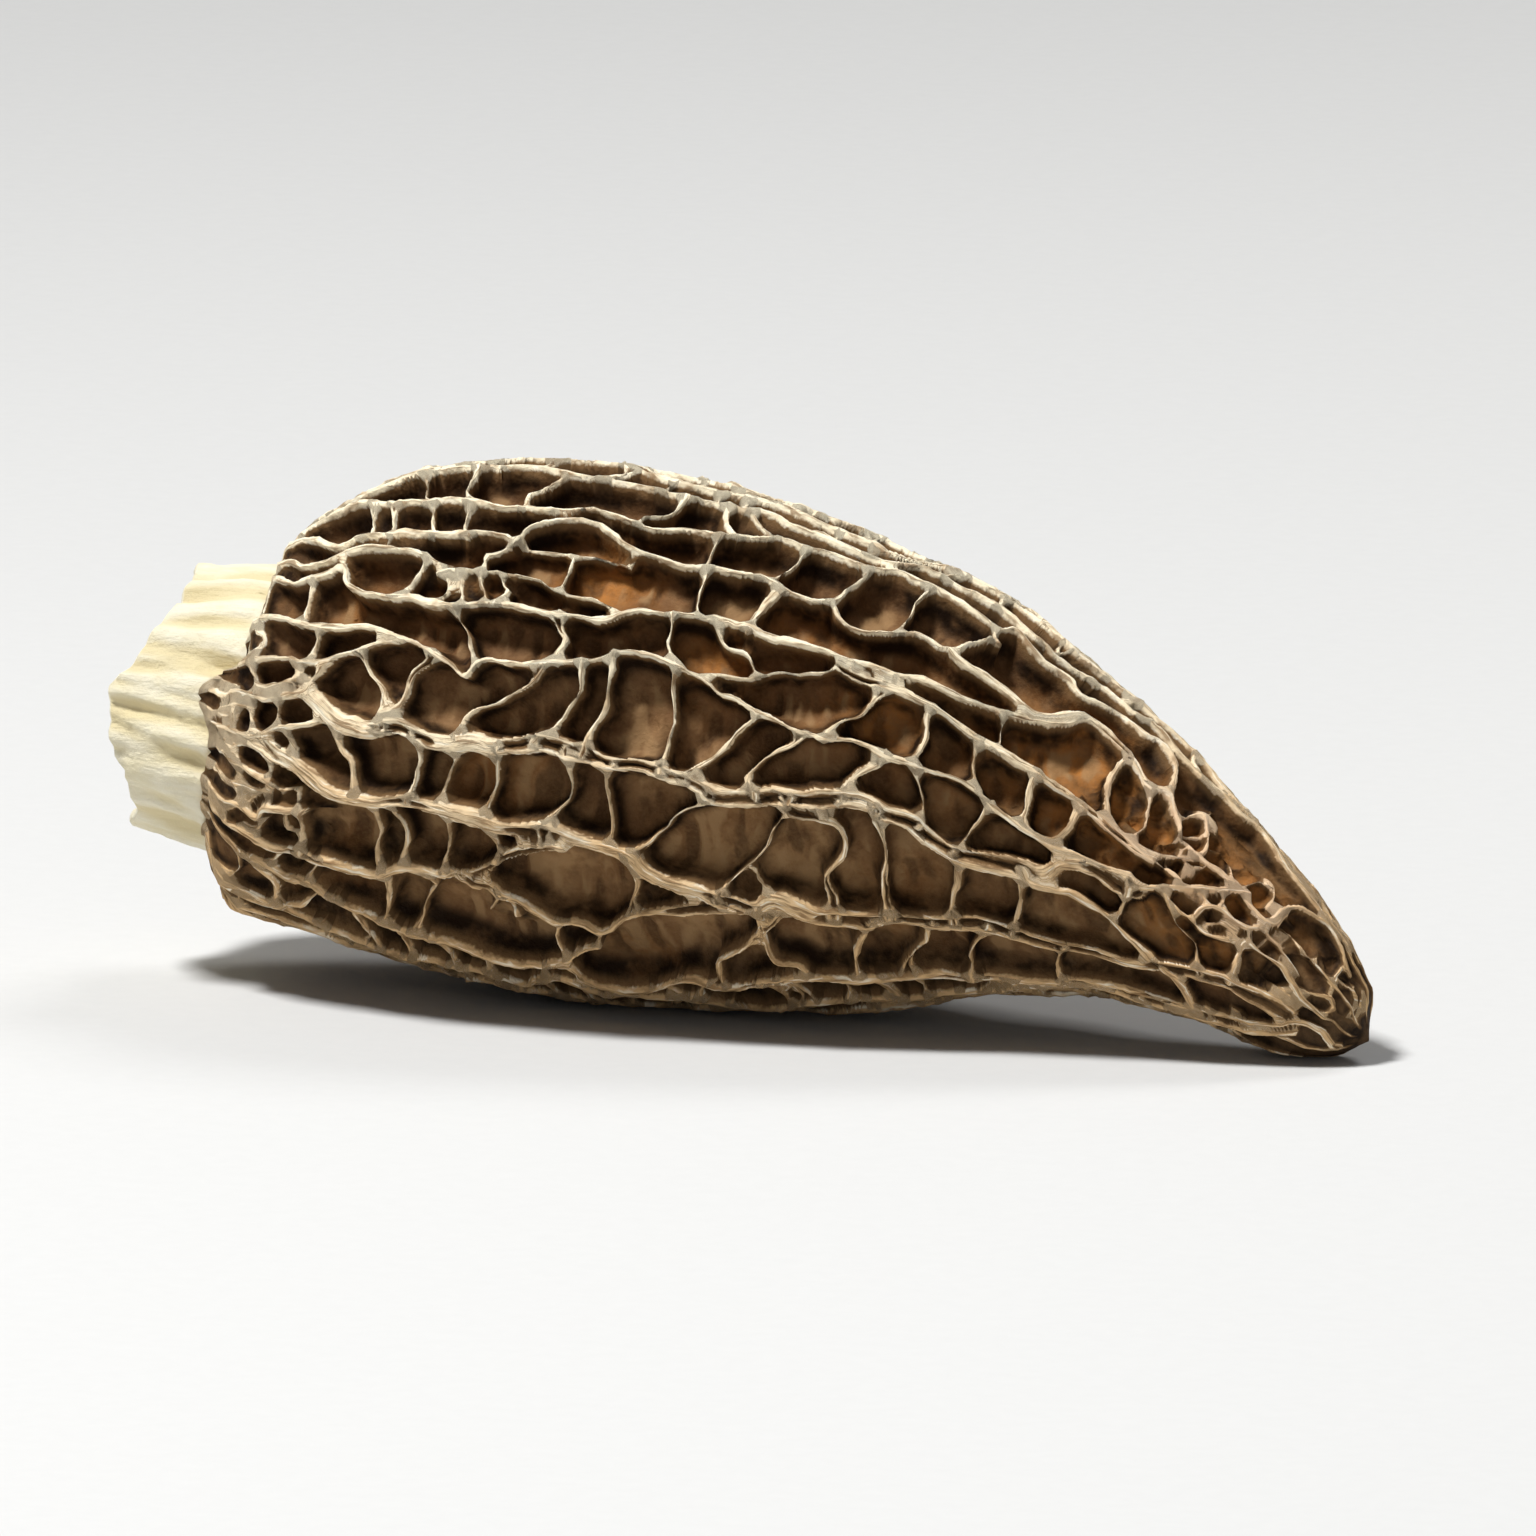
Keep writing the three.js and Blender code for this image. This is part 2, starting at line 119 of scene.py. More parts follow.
CROSS = [
    [(15.1, 102), (15.3, 106.5), (15.9, 111)],
    [(17.1, 102.5), (17.3, 108.5), (17.8, 112.5)],
    [(20.3, 104.5), (20, 108), (20.2, 113)],
    [(23.1, 109), (22.7, 112), (22.1, 114.5)],
    [(26.9, 101), (26.8, 106), (25.9, 109), (25.9, 113.5)],
    [(30, 94), (31.9, 102)],
    [(29.7, 102), (30.7, 107)],
    [(12.8, 113), (13.2, 121)],
    [(14.4, 115.5), (15, 123.5)],
    [(16.4, 118.5), (16.9, 124.5)],
    [(18, 120), (18.3, 124)],
    [(30.2, 116.5), (30.2, 121)],
    [(34, 113), (33.7, 118), (33.3, 120)],
    [(37, 108), (36.9, 113.5), (36.8, 119)],
    [(39.4, 104.5), (39.6, 111.5), (39.6, 119)],
    [(42.7, 101), (43.3, 103)],
    [(34.1, 124.5), (33.9, 129), (33.7, 133.5)],
    [(30.6, 125.5), (31, 132.5)],
    [(19.6, 132.5), (19.5, 129.5), (20, 128.5)],
    [(23.8, 131), (23.9, 135.5)],
    [(28, 134.5), (27.8, 138.5)],
    [(16.8, 136.5), (16.7, 139.5), (16.2, 142)],
    [(18.2, 137), (18.3, 140), (18.1, 142.5)],
    [(18.8, 137), (19.2, 142)],
    [(19.6, 136.5), (20.2, 141.5)],
    [(20.9, 138), (21.3, 139.5), (21, 142)],
    [(10.4, 139.5), (10.4, 145)],
    [(19.1, 146.5), (19.8, 149.5), (20.2, 153)],
    [(24.5, 145.5), (25, 148), (24.8, 152)],
    [(30.1, 141), (30.2, 144.5), (31.1, 147.5)],
    [(32.9, 140), (34.2, 140), (34.9, 143.5)],
    [(11.8, 150.5), (11.5, 153.5), (11.1, 156)],
    [(7.9, 160.5), (8.9, 163), (10.1, 162.5), (11, 161)],
    [(9.6, 167.5), (9.5, 172), (9.1, 174.5)],
    [(14.8, 156), (15.4, 160.5), (16.1, 164.5), (16.2, 168)],
    [(18.3, 158), (17.6, 161.5), (17.4, 165.5), (17, 168.5), (16.2, 170), (15.9, 173)],
    [(20.7, 169), (21.3, 166.5), (22.3, 164.5), (23.2, 161), (24, 158.5)],
    [(26.2, 154.5), (26.4, 159), (26.1, 164), (25.5, 167.5), (24.7, 171)],
    [(27.8, 153), (27.9, 158), (27.8, 163), (27.4, 169.5)],
    [(31, 152), (31.3, 159), (31.3, 164.5), (31.4, 169.5)],
    [(35.4, 157), (35, 160.5), (34.4, 166), (33.2, 171.5)],
    [(37.7, 160.5), (36.9, 164), (36.4, 167.5), (36.1, 170.5), (36.4, 173.5)],
    [(41.6, 159), (41, 162.5), (40.4, 168.5)],
    [(43.1, 157.5), (43.6, 161.5), (44, 167.5), (44.1, 172.5)],
    [(46.5, 161), (46.3, 167.5), (46.1, 174)],
    [(40.1, 147.5), (39.4, 151.5), (39, 155.5)],
    [(42.7, 141.5), (43.1, 146.5), (43, 153)],
    [(45.1, 145), (45.4, 150.5), (46, 156)],
    [(48, 155.5), (48.1, 160), (48.9, 162.5), (49.6, 161), (49.9, 154.5), (49.9, 150)],
    [(45.5, 131.5), (45.8, 139.5)],
    [(49.3, 131), (49.6, 138)],
    [(50.1, 125.5), (50.5, 134)],
    [(51.9, 126), (52.2, 136), (52.1, 140.5)],
    [(13.8, 178), (14.5, 181.5), (14.7, 188.5)],
    [(18, 175.5), (18.4, 179), (18.3, 183.5), (17.9, 188)],
    [(20.5, 176), (20, 180.5), (19.7, 186), (19.7, 188.5)],
    [(23, 175.5), (22.9, 181), (22.4, 187.5)],
    [(26.5, 174.5), (26.8, 179.5), (26.6, 183.5), (25.9, 188.5)],
    [(28.7, 172.5), (28.4, 176), (28.7, 181.5), (28.9, 187.5)],
    [(33.7, 179), (32.3, 182.5), (31.8, 186), (30.9, 190.5), (30.2, 193)],
    [(37.9, 179), (37.5, 182.5), (37.2, 186.5), (36.5, 192), (35.4, 198)],
    [(36.7, 193), (36.8, 197), (37.6, 200)],
    [(38.4, 178), (39.4, 178), (40.3, 178.5), (40.8, 182), (40.9, 187), (40.3, 194), (40.5, 200.5)],
    [(42.2, 175.5), (42.6, 179), (42.9, 186.5), (43, 193), (43.2, 200)],
    [(46, 181), (46.2, 189), (46.2, 198)],
    [(48.9, 181), (49.1, 190), (49.1, 197.5)],
    [(53.1, 168.5), (53.1, 180)],
    [(55.4, 169.5), (56.2, 175), (56.6, 184.5)],
    [(57.7, 159.5), (57.9, 177)],
    [(11, 196.5), (10.8, 202.5)],
    [(15.6, 193), (15.9, 197.5), (15.4, 204)],
    [(16.8, 192.5), (17.5, 195.5), (17.3, 200.5), (16.9, 204.5)],
    [(20.1, 191), (20, 196.5), (19.6, 201.5)],
    [(22.6, 193), (23.2, 196), (22.7, 200)],
    [(29.8, 195.5), (30.2, 201), (29.9, 206.5)],
    [(11.6, 209), (10.9, 215.5)],
    [(15.6, 209.5), (15.6, 214), (14.9, 221.5)],
    [(18.1, 208), (18.8, 209.5), (17.9, 215), (16.8, 222.5), (16.3, 227.5)],
    [(22.7, 210), (21.8, 215.5), (21.3, 221)],
    [(23.1, 208.5), (23.5, 213.5), (23.2, 222)],
    [(26, 214), (25.6, 220.5)],
    [(28.1, 215), (27.4, 221), (26.6, 222.5)],
    [(37.7, 207.5), (36.9, 212), (35.7, 217), (34.1, 223), (33.7, 228)],
    [(36.7, 214.5), (36.6, 220.5), (37, 225), (38.1, 225.5)],
    [(42.3, 207.5), (41.7, 216), (41.1, 224.5), (41, 229)],
    [(45.2, 207.5), (45, 216), (44, 226)],
    [(47.7, 208), (47.2, 217.5), (46.9, 227.5)],
    [(51.4, 209), (51.1, 223)],
    [(40, 233), (39.8, 239)],
    [(42.2, 235), (41.6, 251)],
]
# Short fins in the crumpled skin near the tip and small folds behind the margin: half width, height share, line.
FINS = [
    (0.19, 1.05, [(54, 129.5), (54.5, 131.5), (55, 132.5), (55.6, 132), (56, 131.5), (56.4, 132.5), (56.9, 134.5), (57.3, 138.5)]),
    (0.16, 1.00, [(55.1, 117.5), (55.5, 121.5), (55.8, 127), (56, 130.5)]),
    (0.19, 1.00, [(56.4, 133), (56.8, 136.5), (57.3, 138), (57.8, 138), (58.1, 134), (58.1, 128), (58.1, 116.5)]),
    (0.16, 1.00, [(53.9, 147), (54.4, 149), (54.9, 150)]),
    (0.19, 0.95, [(54, 159), (54.6, 160.5), (55.2, 162), (55.8, 163), (56.2, 166.5), (56.7, 166), (57.2, 163), (57.8, 160.5)]),
    (0.22, 1.08, [(55.8, 163), (55.8, 156.5), (56, 151.5), (56.4, 149.5), (56.8, 151), (57.3, 150.5), (57.6, 148), (57.8, 141.5)]),
    (0.14, 0.95, [(56, 151.5), (55.5, 147.5), (55.1, 148.5)]),
    (0.14, 0.95, [(56.4, 149.5), (56.2, 142.5), (56.2, 135)]),
    (0.14, 0.85, [(56.2, 166.5), (56.3, 161), (56.7, 157.5), (57.1, 157.5), (57.8, 160.5)]),
    (0.13, 0.85, [(57.6, 163), (57.9, 168.5), (58.1, 178)]),
    (0.14, 0.90, [(59.5, 138), (59.9, 134), (59.9, 125), (59.7, 117.5)]),
    (0.16, 0.90, [(57.8, 141.5), (58.5, 144.5), (59.2, 148), (59.9, 153.5)]),
    (0.17, 0.95, [(53.1, 119.5), (53.4, 111), (53.9, 113.5), (54.5, 122.5), (54.5, 130)]),
    (0.14, 0.90, [(52.8, 136), (53.3, 133.5), (53.7, 128)]),
    (0.14, 0.80, [(53.9, 113.5), (54.4, 109), (55.2, 109.5)]),
    (0.14, 0.80, [(56, 110.5), (56.8, 111.5), (57.4, 117.5), (57.5, 129)]),
    (0.13, 0.80, [(56.5, 128), (56.7, 118.5), (57.1, 116.5)]),
    (0.16, 0.90, [(60.4, 160), (60.8, 155.5), (61.2, 149), (61.6, 156.5), (61.4, 169)]),
    (0.26, 1.05, [(7.8, 160.5), (8.8, 162.5), (10.1, 162.5), (10.9, 160), (10.3, 158)]),
    (0.22, 0.90, [(5.3, 169), (6.4, 167), (7.8, 168)]),
    (0.22, 0.90, [(6, 178.5), (6.8, 179.5), (7.7, 178), (8.8, 180.5)]),
    (0.22, 0.85, [(6.1, 167.5), (6.7, 171.5), (6.6, 174.5)]),
    (0.22, 0.85, [(7.5, 168), (7.9, 172), (7.9, 176)]),
    (0.22, 0.90, [(9.5, 173.5), (10.3, 175.5), (10.9, 178.5), (10.7, 181.5)]),
    (0.22, 0.90, [(6.8, 179.5), (7.4, 182.5), (7.6, 185)]),
    (0.22, 0.85, [(8.8, 180.5), (9.2, 183.5), (9, 187)]),
    (0.22, 0.85, [(6.6, 190), (7.3, 190.5), (8, 190.5), (8.8, 192)]),
    (0.20, 0.85, [(7.3, 190.5), (7.5, 195), (7.4, 198)]),
    (0.20, 0.85, [(8.8, 188), (9.6, 190.5), (10.7, 189.5), (11.5, 190.5)]),
    (0.20, 0.85, [(10.7, 189.5), (10.8, 193.5), (10.6, 196)]),
    (0.20, 0.85, [(7.8, 203.5), (8.3, 204.5), (8.7, 201)]),
    (0.20, 0.85, [(9.7, 194.5), (9.8, 199.5), (10.5, 203), (11.5, 203.5)]),
    (0.20, 0.85, [(7.8, 213), (8.4, 214.5), (9, 213), (9.7, 208.5)]),
    (0.20, 0.80, [(6, 146), (6.5, 149.5), (6.5, 153.5)]),
]


# ---------------------------------------------------------------- helpers
def smooth(a, b, x):
    t = np.clip((x - a) / (b - a), 0, 1)
    return t * t * (3 - 2 * t)


def through(table, x, column):
    """Smooth curve through a table of [x, ...values], by Hermite spans with central slopes."""
    n = len(table)
    x = np.clip(x, table[0, 0], table[-1, 0])
    i = np.clip(np.searchsorted(table[:, 0], x) - 1, 0, n - 2)
    k = np.arange(n)
    a, b = np.maximum(k - 1, 0), np.minimum(k + 1, n - 1)
    slope = (table[b, column] - table[a, column]) / (table[b, 0] - table[a, 0])
    h = table[i + 1, 0] - table[i, 0]
    t = (x - table[i, 0]) / h
    return (
        (2 * t**3 - 3 * t**2 + 1) * table[i, column] + (t**3 - 2 * t**2 + t) * h * slope[i]
        + (3 * t**2 - 2 * t**3) * table[i + 1, column] + (t**3 - t**2) * h * slope[i + 1]
    )


def unit(v):
    return v / np.maximum(np.linalg.norm(v, axis=-1, keepdims=True), 1e-12)


def scatter(i, j, k, seed):
    """A hash of whole numbers to 0..1."""
    n = (i.astype(np.uint32) * np.uint32(374761393) + j.astype(np.uint32) * np.uint32(668265263)
         + k.astype(np.uint32) * np.uint32(2246822519) + np.uint32(seed * 3266489917 % 4294967296))
    n = (n ^ (n >> np.uint32(13))) * np.uint32(1274126177)
    n = (n ^ (n >> np.uint32(16))) * np.uint32(2654435761)
    return ((n ^ (n >> np.uint32(15))) & np.uint32(0xFFFFFF)).astype(np.float64) / 16777216.0


def noise(p, scale, seed):
    """Smooth value noise, -1..1, over points p (..., 3) in mm, with features about scale mm across."""
    q = p / scale + 500.0
    f = np.floor(q)
    t = q - f
    t = t * t * t * (t * (t * 6 - 15) + 10)
    i, j, k = (f[..., a].astype(np.int64) for a in range(3))
    out = 0
    for a in (0, 1):
        for b in (0, 1):
            for c in (0, 1):
                w = (t[..., 0] if a else 1 - t[..., 0]) * (t[..., 1] if b else 1 - t[..., 1]) * (t[..., 2] if c else 1 - t[..., 2])
                out = out + w * scatter(i + a, j + b, k + c, seed)
    return out * 2 - 1


def layered(p, scale, seed, octaves=3):
    out, gain = 0, 1.0
    for o in range(octaves):
        out = out + gain * noise(p, scale / 2**o, seed + 17 * o)
        gain *= 0.5
    return out / (2 - 2 ** (1 - octaves))


def cell_edges(p, scale, seed):
    """Distance in mm from the nearest wall between scattered cells about scale mm across."""
    q = p / scale + 500.0
    f = np.floor(q)
    first = np.full(p.shape[:-1], 9.0)
    second = np.full(p.shape[:-1], 9.0)
    for a in (-1, 0, 1):
        for b in (-1, 0, 1):
            for c in (-1, 0, 1):
                i, j, k = (f[..., n].astype(np.int64) + s for n, s in zip(range(3), (a, b, c)))
                at = np.stack([i + scatter(i, j, k, seed), j + scatter(i, j, k, seed + 1), k + scatter(i, j, k, seed + 2)], -1)
                d = np.linalg.norm(at - q, axis=-1)
                second = np.where(d < first, first, np.minimum(second, d))
                first = np.minimum(first, d)
    return (second - first) * 0.5 * scale


def round_table(table, angle, soften=2.0):
    """A value by angle from a closed table, with its corners softened over some degrees."""
    a = np.mod(angle, 360.0)
    total = 0
    for s, w in ((-1.0, 0.25), (0.0, 0.5), (1.0, 0.25)):
        total = total + w * np.interp(np.mod(a + s * soften, 360.0), table[:, 0], table[:, 1])
    return total


# ---------------------------------------------------------------- the crest surface
def place(x, phi, radius, widen):
    """Points at angle phi and the given radius round the centreline at x."""
    low, high = FORM[0, 0], FORM[-1, 0]
    step = 0.004 * (high - low)

    def centre(v):
        v = np.clip(v, low, high)
        return np.stack([v, through(FORM, v, 1), through(FORM, v, 2)], -1)

    ahead, behind = centre(np.minimum(x + step, high)), centre(np.maximum(np.minimum(x, high) - step, low))
    tangent = unit(ahead - behind)
    side = unit(np.cross(np.array([0.0, 0.0, 1.0]), tangent))
    up = unit(np.cross(tangent, side))
    base = centre(x)
    base[..., 0] += x - np.clip(x, low, high)
    return base + side * (np.cos(phi) * radius * widen)[..., None] + up * (np.sin(phi) * radius)[..., None]


def lean(x, phi, radius):
    return x + CUT_TILT * radius * np.sin(phi) * (1 - smooth(5, 15, x))


def stem_radius(x):
    return 6.35 + 0.85 * smooth(-0.5, 6.0, x)


def crest_radius(x, angle):
    """Radius over the rib crests; near the margin the shoulder rises steeply from the stem."""
    free = np.maximum(through(FORM, x, 3), 0)
    past = x - round_table(MARGIN, angle)
    return np.minimum(free, stem_radius(x) + 0.55 + 1.55 * np.maximum(past, 0))


def widening(x):
    return 1 + 0.03 * smooth(6, 16, x) * (1 - smooth(48, 60, x))


def crest_point(x, angle):
    phi = np.radians(angle)
    r = crest_radius(x, angle)
    return place(lean(x, phi, r), phi, r, widening(x))


def dense(points, spacing=0.3):
    """A smooth line through control points (Catmull-Rom), as [x, angle] about spacing mm apart on the surface."""
    c = np.array(points, float)
    if len(c) == 2:
        c = np.array([c[0], (c[0] + c[1]) / 2, c[1]])
    ends = np.vstack([2 * c[0] - c[1], c, 2 * c[-1] - c[-2]])
    out = []
    for i in range(1, len(ends) - 2):
        p0, p1, p2, p3 = ends[i - 1 : i + 3]
        r = max(float(crest_radius(np.array(p1[0]), np.array(p1[1]))), 0.8)
        size = math.hypot(p2[0] - p1[0], math.radians(p2[1] - p1[1]) * r)
        n = max(1, int(math.ceil(size / spacing)))
        t = np.linspace(0, 1, n, endpoint=False)[:, None]
        out.append(0.5 * (2 * p1 + (p2 - p0) * t + (2 * p0 - 5 * p1 + 4 * p2 - p3) * t**2 + (3 * p1 - p0 - 3 * p2 + p3) * t**3))
    out.append(c[-1:])
    return np.vstack(out)


# ---------------------------------------------------------------- the rib lines
rng = np.random.default_rng(20)
lines = []  # (points [x, angle], half width, height share at the start, in the middle, at the end)


def margin_at(angle):
    return float(round_table(MARGIN, np.array(angle)))


def table_line(points):
    a = np.array(points, float)
    return lambda x: float(np.interp(x, a[:, 0], a[:, 1]))


for width, height, points in RIDGES:
    points = list(points)
    if points[0][0] < 8.0:  # it starts at the margin
        x0, a0 = points[0]
        points = [(margin_at(a0) - 0.25, a0)] + [p for p in points if p[0] > margin_at(a0) + 0.3]
    lines.append((points, width, height, height, height))
cross = [(list(points), float(rng.uniform(0.22, 0.31))) for points in CROSS]

# The far side and the belly: ribs between the last of the near side's, wandering, joining and forking.
near_low = [p for p in RIDGES if p[1] == 1.0 and p[2][0] == (7.3, 211.5)][0][2]
near_high = [p for p in RIDGES if p[2][0] == (5, 93)][0][2]
edge_low, edge_high = table_line(near_low), table_line(near_high)
SPANS = 17
station = np.arange(4.0, 62.6, 0.5)
wave = {}
for i in range(1, SPANS):
    own = 0
    for wavelength, size in ((26.0, 0.52), (11.0, 0.26), (4.6, 0.10)):
        own = own + size * np.sin(2 * math.pi * (station / wavelength * rng.uniform(0.85, 1.15) + rng.uniform()))
    wave[i] = i + own * (0.35 + 0.65 * smooth(5, 14, station))
    if i > 1:  # it never crosses its neighbour, it runs together with it
        wave[i] = np.maximum(wave[i], wave[i - 1] + 0.02)
    wave[i] = np.minimum(wave[i], SPANS - 0.65)
start, stop = {}, {}
for i in range(1, SPANS):
    start[i], stop[i] = 4.0, 62.4
for i, x in ((2, 44.0), (5, 50.0), (7, 40.0), (9, 53.0), (11, 46.0), (13, 50.0), (15, 43.0)):  # these join a neighbour towards the tip
    stop[i] = x
for i, x in ((4, 12.0), (10, 16.0)):  # these fork from a neighbour above the margin
    start[i] = x


def far_angle(share, x):
    return edge_low(x) + (edge_high(x) + 360 - edge_low(x)) * share / SPANS


far = {}
for i in range(1, SPANS):
    s = wave[i].copy()
    if stop[i] < 60:
        s = s + (wave.get(i + 1, s + 1) - s) * smooth(stop[i] - 7, stop[i], station)
    if start[i] > 5:
        s = s + (wave.get(i - 1, s - 1) - s) * (1 - smooth(start[i], start[i] + 6, station))
    far[i] = s
    use = (station >= start[i]) & (station <= stop[i])
    pts = [(x, far_angle(v, x)) for x, v in zip(station[use][::3], s[use][::3])]
    if start[i] < 5:
        m = margin_at(pts[0][1])
        pts = [(m - 0.25, far_angle(s[0], 5.0))] + [p for p in pts if p[0] > m + 0.4]
    lines.append((pts, float(rng.uniform(0.22, 0.34)), 1.0, 1.0, 1.0))

far[0], far[SPANS] = np.zeros_like(station), np.full_like(station, SPANS)
for i in range(0, SPANS):
    x = 6.0 + rng.uniform(0, 2.5)
    while x < 61:
        a, b = x + rng.uniform(-1.0, 1.0), x + rng.uniform(-1.0, 1.0)
        j = i + 1
        while j < SPANS and not start[j] <= b <= stop[j]:
            j += 1
        lo, hi = np.interp(a, station, far[i]), np.interp(b, station, far[j])
        gap = math.radians(far_angle(hi, b) - far_angle(lo, a)) * float(through(FORM, np.array(x), 3))
        alive = i == 0 or start[i] <= a <= stop[i]
        if alive and gap > 0.8:
            mid = ((a + b) / 2 + rng.uniform(-0.5, 0.5), (far_angle(lo, a) + far_angle(hi, b)) / 2)
            cross.append(([(a, far_angle(lo, a)), mid, (b, far_angle(hi, b))], float(rng.uniform(0.20, 0.30))))
        x += rng.uniform(1.8, 3.7) * (1 - 0.35 * smooth(40, 56, x))

# Each cross rib runs on until it meets the rib it springs from.
stock = [dense(points) for points, *_ in lines]
stock_xa = np.concatenate(stock)
stock_tall = np.concatenate([np.full(len(d), line[3]) for d, line in zip(stock, lines)])
stock_xyz = crest_point(stock_xa[:, 0], stock_xa[:, 1])


def met(end, inner):
    """The nearest rib point to a line's end, ahead of it, and that rib's height share, or None."""
    e = crest_point(np.array(end[0]), np.array(end[1]))
    way = unit(e - crest_point(np.array(inner[0]), np.array(inner[1])))
    off = stock_xyz - e
    far = np.linalg.norm(off, axis=1)
    cost = far - 0.6 * (off @ way)
    cost[(off @ way) < -0.45] = 99
    i = int(np.argmin(cost))
    if far[i] > 2.1 or cost[i] > 98:
        return None
    x, a = stock_xa[i]
    return (x, end[1] + (a - end[1] + 180) % 360 - 180), stock_tall[i]


for points, width in cross:
    head, tail_ = met(points[0], points[1]), met(points[-1], points[-2])
    points = ([head[0]] if head else []) + points + ([tail_[0]] if tail_ else [])
    size = math.hypot(points[0][0] - points[-1][0], math.radians(points[0][1] - points[-1][1]) * 12)
    width *= 0.6 + 0.4 * float(smooth(1.0, 2.6, size))
    lines.append((points, width, head[1] * 0.98 if head else 0.3,
                  float(rng.uniform(0.72, 0.9)) if size > 1.2 else 0.85, tail_[1] * 0.98 if tail_ else 0.3))
for width, height, points in FINS:
    lines.append((points, width, height * 0.85, height, height * 0.8))

# Ribs that run out over the blunt tip.
for a in (8, 52, 96, 137, 171, 213, 262, 311):
    turn = rng.uniform(-8, 8)
    lines.append(([(58.6, a - turn), (60.6, a), (62.9, a + turn)], float(rng.uniform(0.15, 0.20)), 0.6, 0.85, 0.6))

# Short folds that frill the margin, and the little ribs that join their ends into a net of small pits.
frill = []
angle = 0.0
while angle < 356:
    m = margin_at(angle)
    length = rng.uniform(0.9, 2.3)
    turn = rng.uniform(-3.5, 3.5)
    frill.append([(m - rng.uniform(0.1, 0.3), angle), (m + length * 0.5, angle + turn * 0.3), (m + length, angle + turn)])
    angle += rng.uniform(5.5, 14.0)
for i, points in enumerate(frill):
    lines.append((points, float(rng.uniform(0.15, 0.24)), 0.9, 0.85, 0.7))
    a, b = points[-1], frill[(i + 1) % len(frill)][-1]
    b = (b[0], b[1] + (360 if b[1] < a[1] else 0))
    if rng.uniform() < 0.75:
        middle = ((a[0] + b[0]) / 2 + rng.uniform(-0.3, 0.4), (a[1] + b[1]) / 2)
        lines.append(([a, middle, b], float(rng.uniform(0.16, 0.24)), 0.8, 0.75, 0.8))

# An end that meets no other rib dies out.
path_of = [dense(points) for points, *_ in lines]
path_of = [crest_point(d[:, 0], d[:, 1]) for d in path_of]
everything = np.concatenate(path_of)
owner = np.concatenate([np.full(len(d), i) for i, d in enumerate(path_of)])
ends_free = []
for i, (d, line) in enumerate(zip(path_of, lines)):
    others = everything[owner != i]
    free = []
    for k, (x, a) in ((0, line[0][0]), (-1, line[0][-1])):
        clear = float(np.min(np.linalg.norm(others - d[k], axis=1))) > 0.75
        free.append(clear and margin_at(a) + 1.0 < x < 61)
    ends_free.append(free)

# ---------------------------------------------------------------- the grid over the crest surface
COLUMNS = 680
CAP_ROWS = 520
phi = np.arange(COLUMNS) * (2 * math.pi / COLUMNS)
angle = np.degrees(phi)
fine = np.linspace(4.7, TIP_X, 4000)
path = np.concatenate([[0], np.cumsum(np.hypot(np.diff(fine), np.diff(np.maximum(through(FORM, fine, 3), 0))))])
row_x = np.interp(np.linspace(0, path[-1], CAP_ROWS), path, fine)
margin = round_table(MARGIN, angle) + 0.12 * noise(np.stack([np.cos(phi) * 7, np.sin(phi) * 7, 0 * phi], -1), 0.7, 3)
X = margin[None, :] + (row_x[:, None] - 4.7) * (TIP_X - margin[None, :]) / (TIP_X - 4.7)
A = np.broadcast_to(angle[None, :], X.shape)
S = crest_point(X, A)
R = crest_radius(X, A)


def normals(P):
    du = np.gradient(P, axis=0)
    dv = (np.roll(P, -1, axis=1) - np.roll(P, 1, axis=1)) / 2
    n = np.cross(dv, du)
    n[-1] = np.array([1.0, 0.0, -0.6])
    return unit(n)


N = normals(S)
outward = S - np.stack([S[..., 0], through(FORM, X, 1), through(FORM, X, 2)], -1)
if np.sum(N[: CAP_ROWS // 2] * outward[: CAP_ROWS // 2]) < 0:
    N = -N
N[-1] = unit(np.array([1.0, 0.0, -0.5]))
# On the steep shoulder the pits go in towards the axis as well.
N = unit(N + unit(outward) * (0.7 * (1 - smooth(7, 12, X)))[..., None])

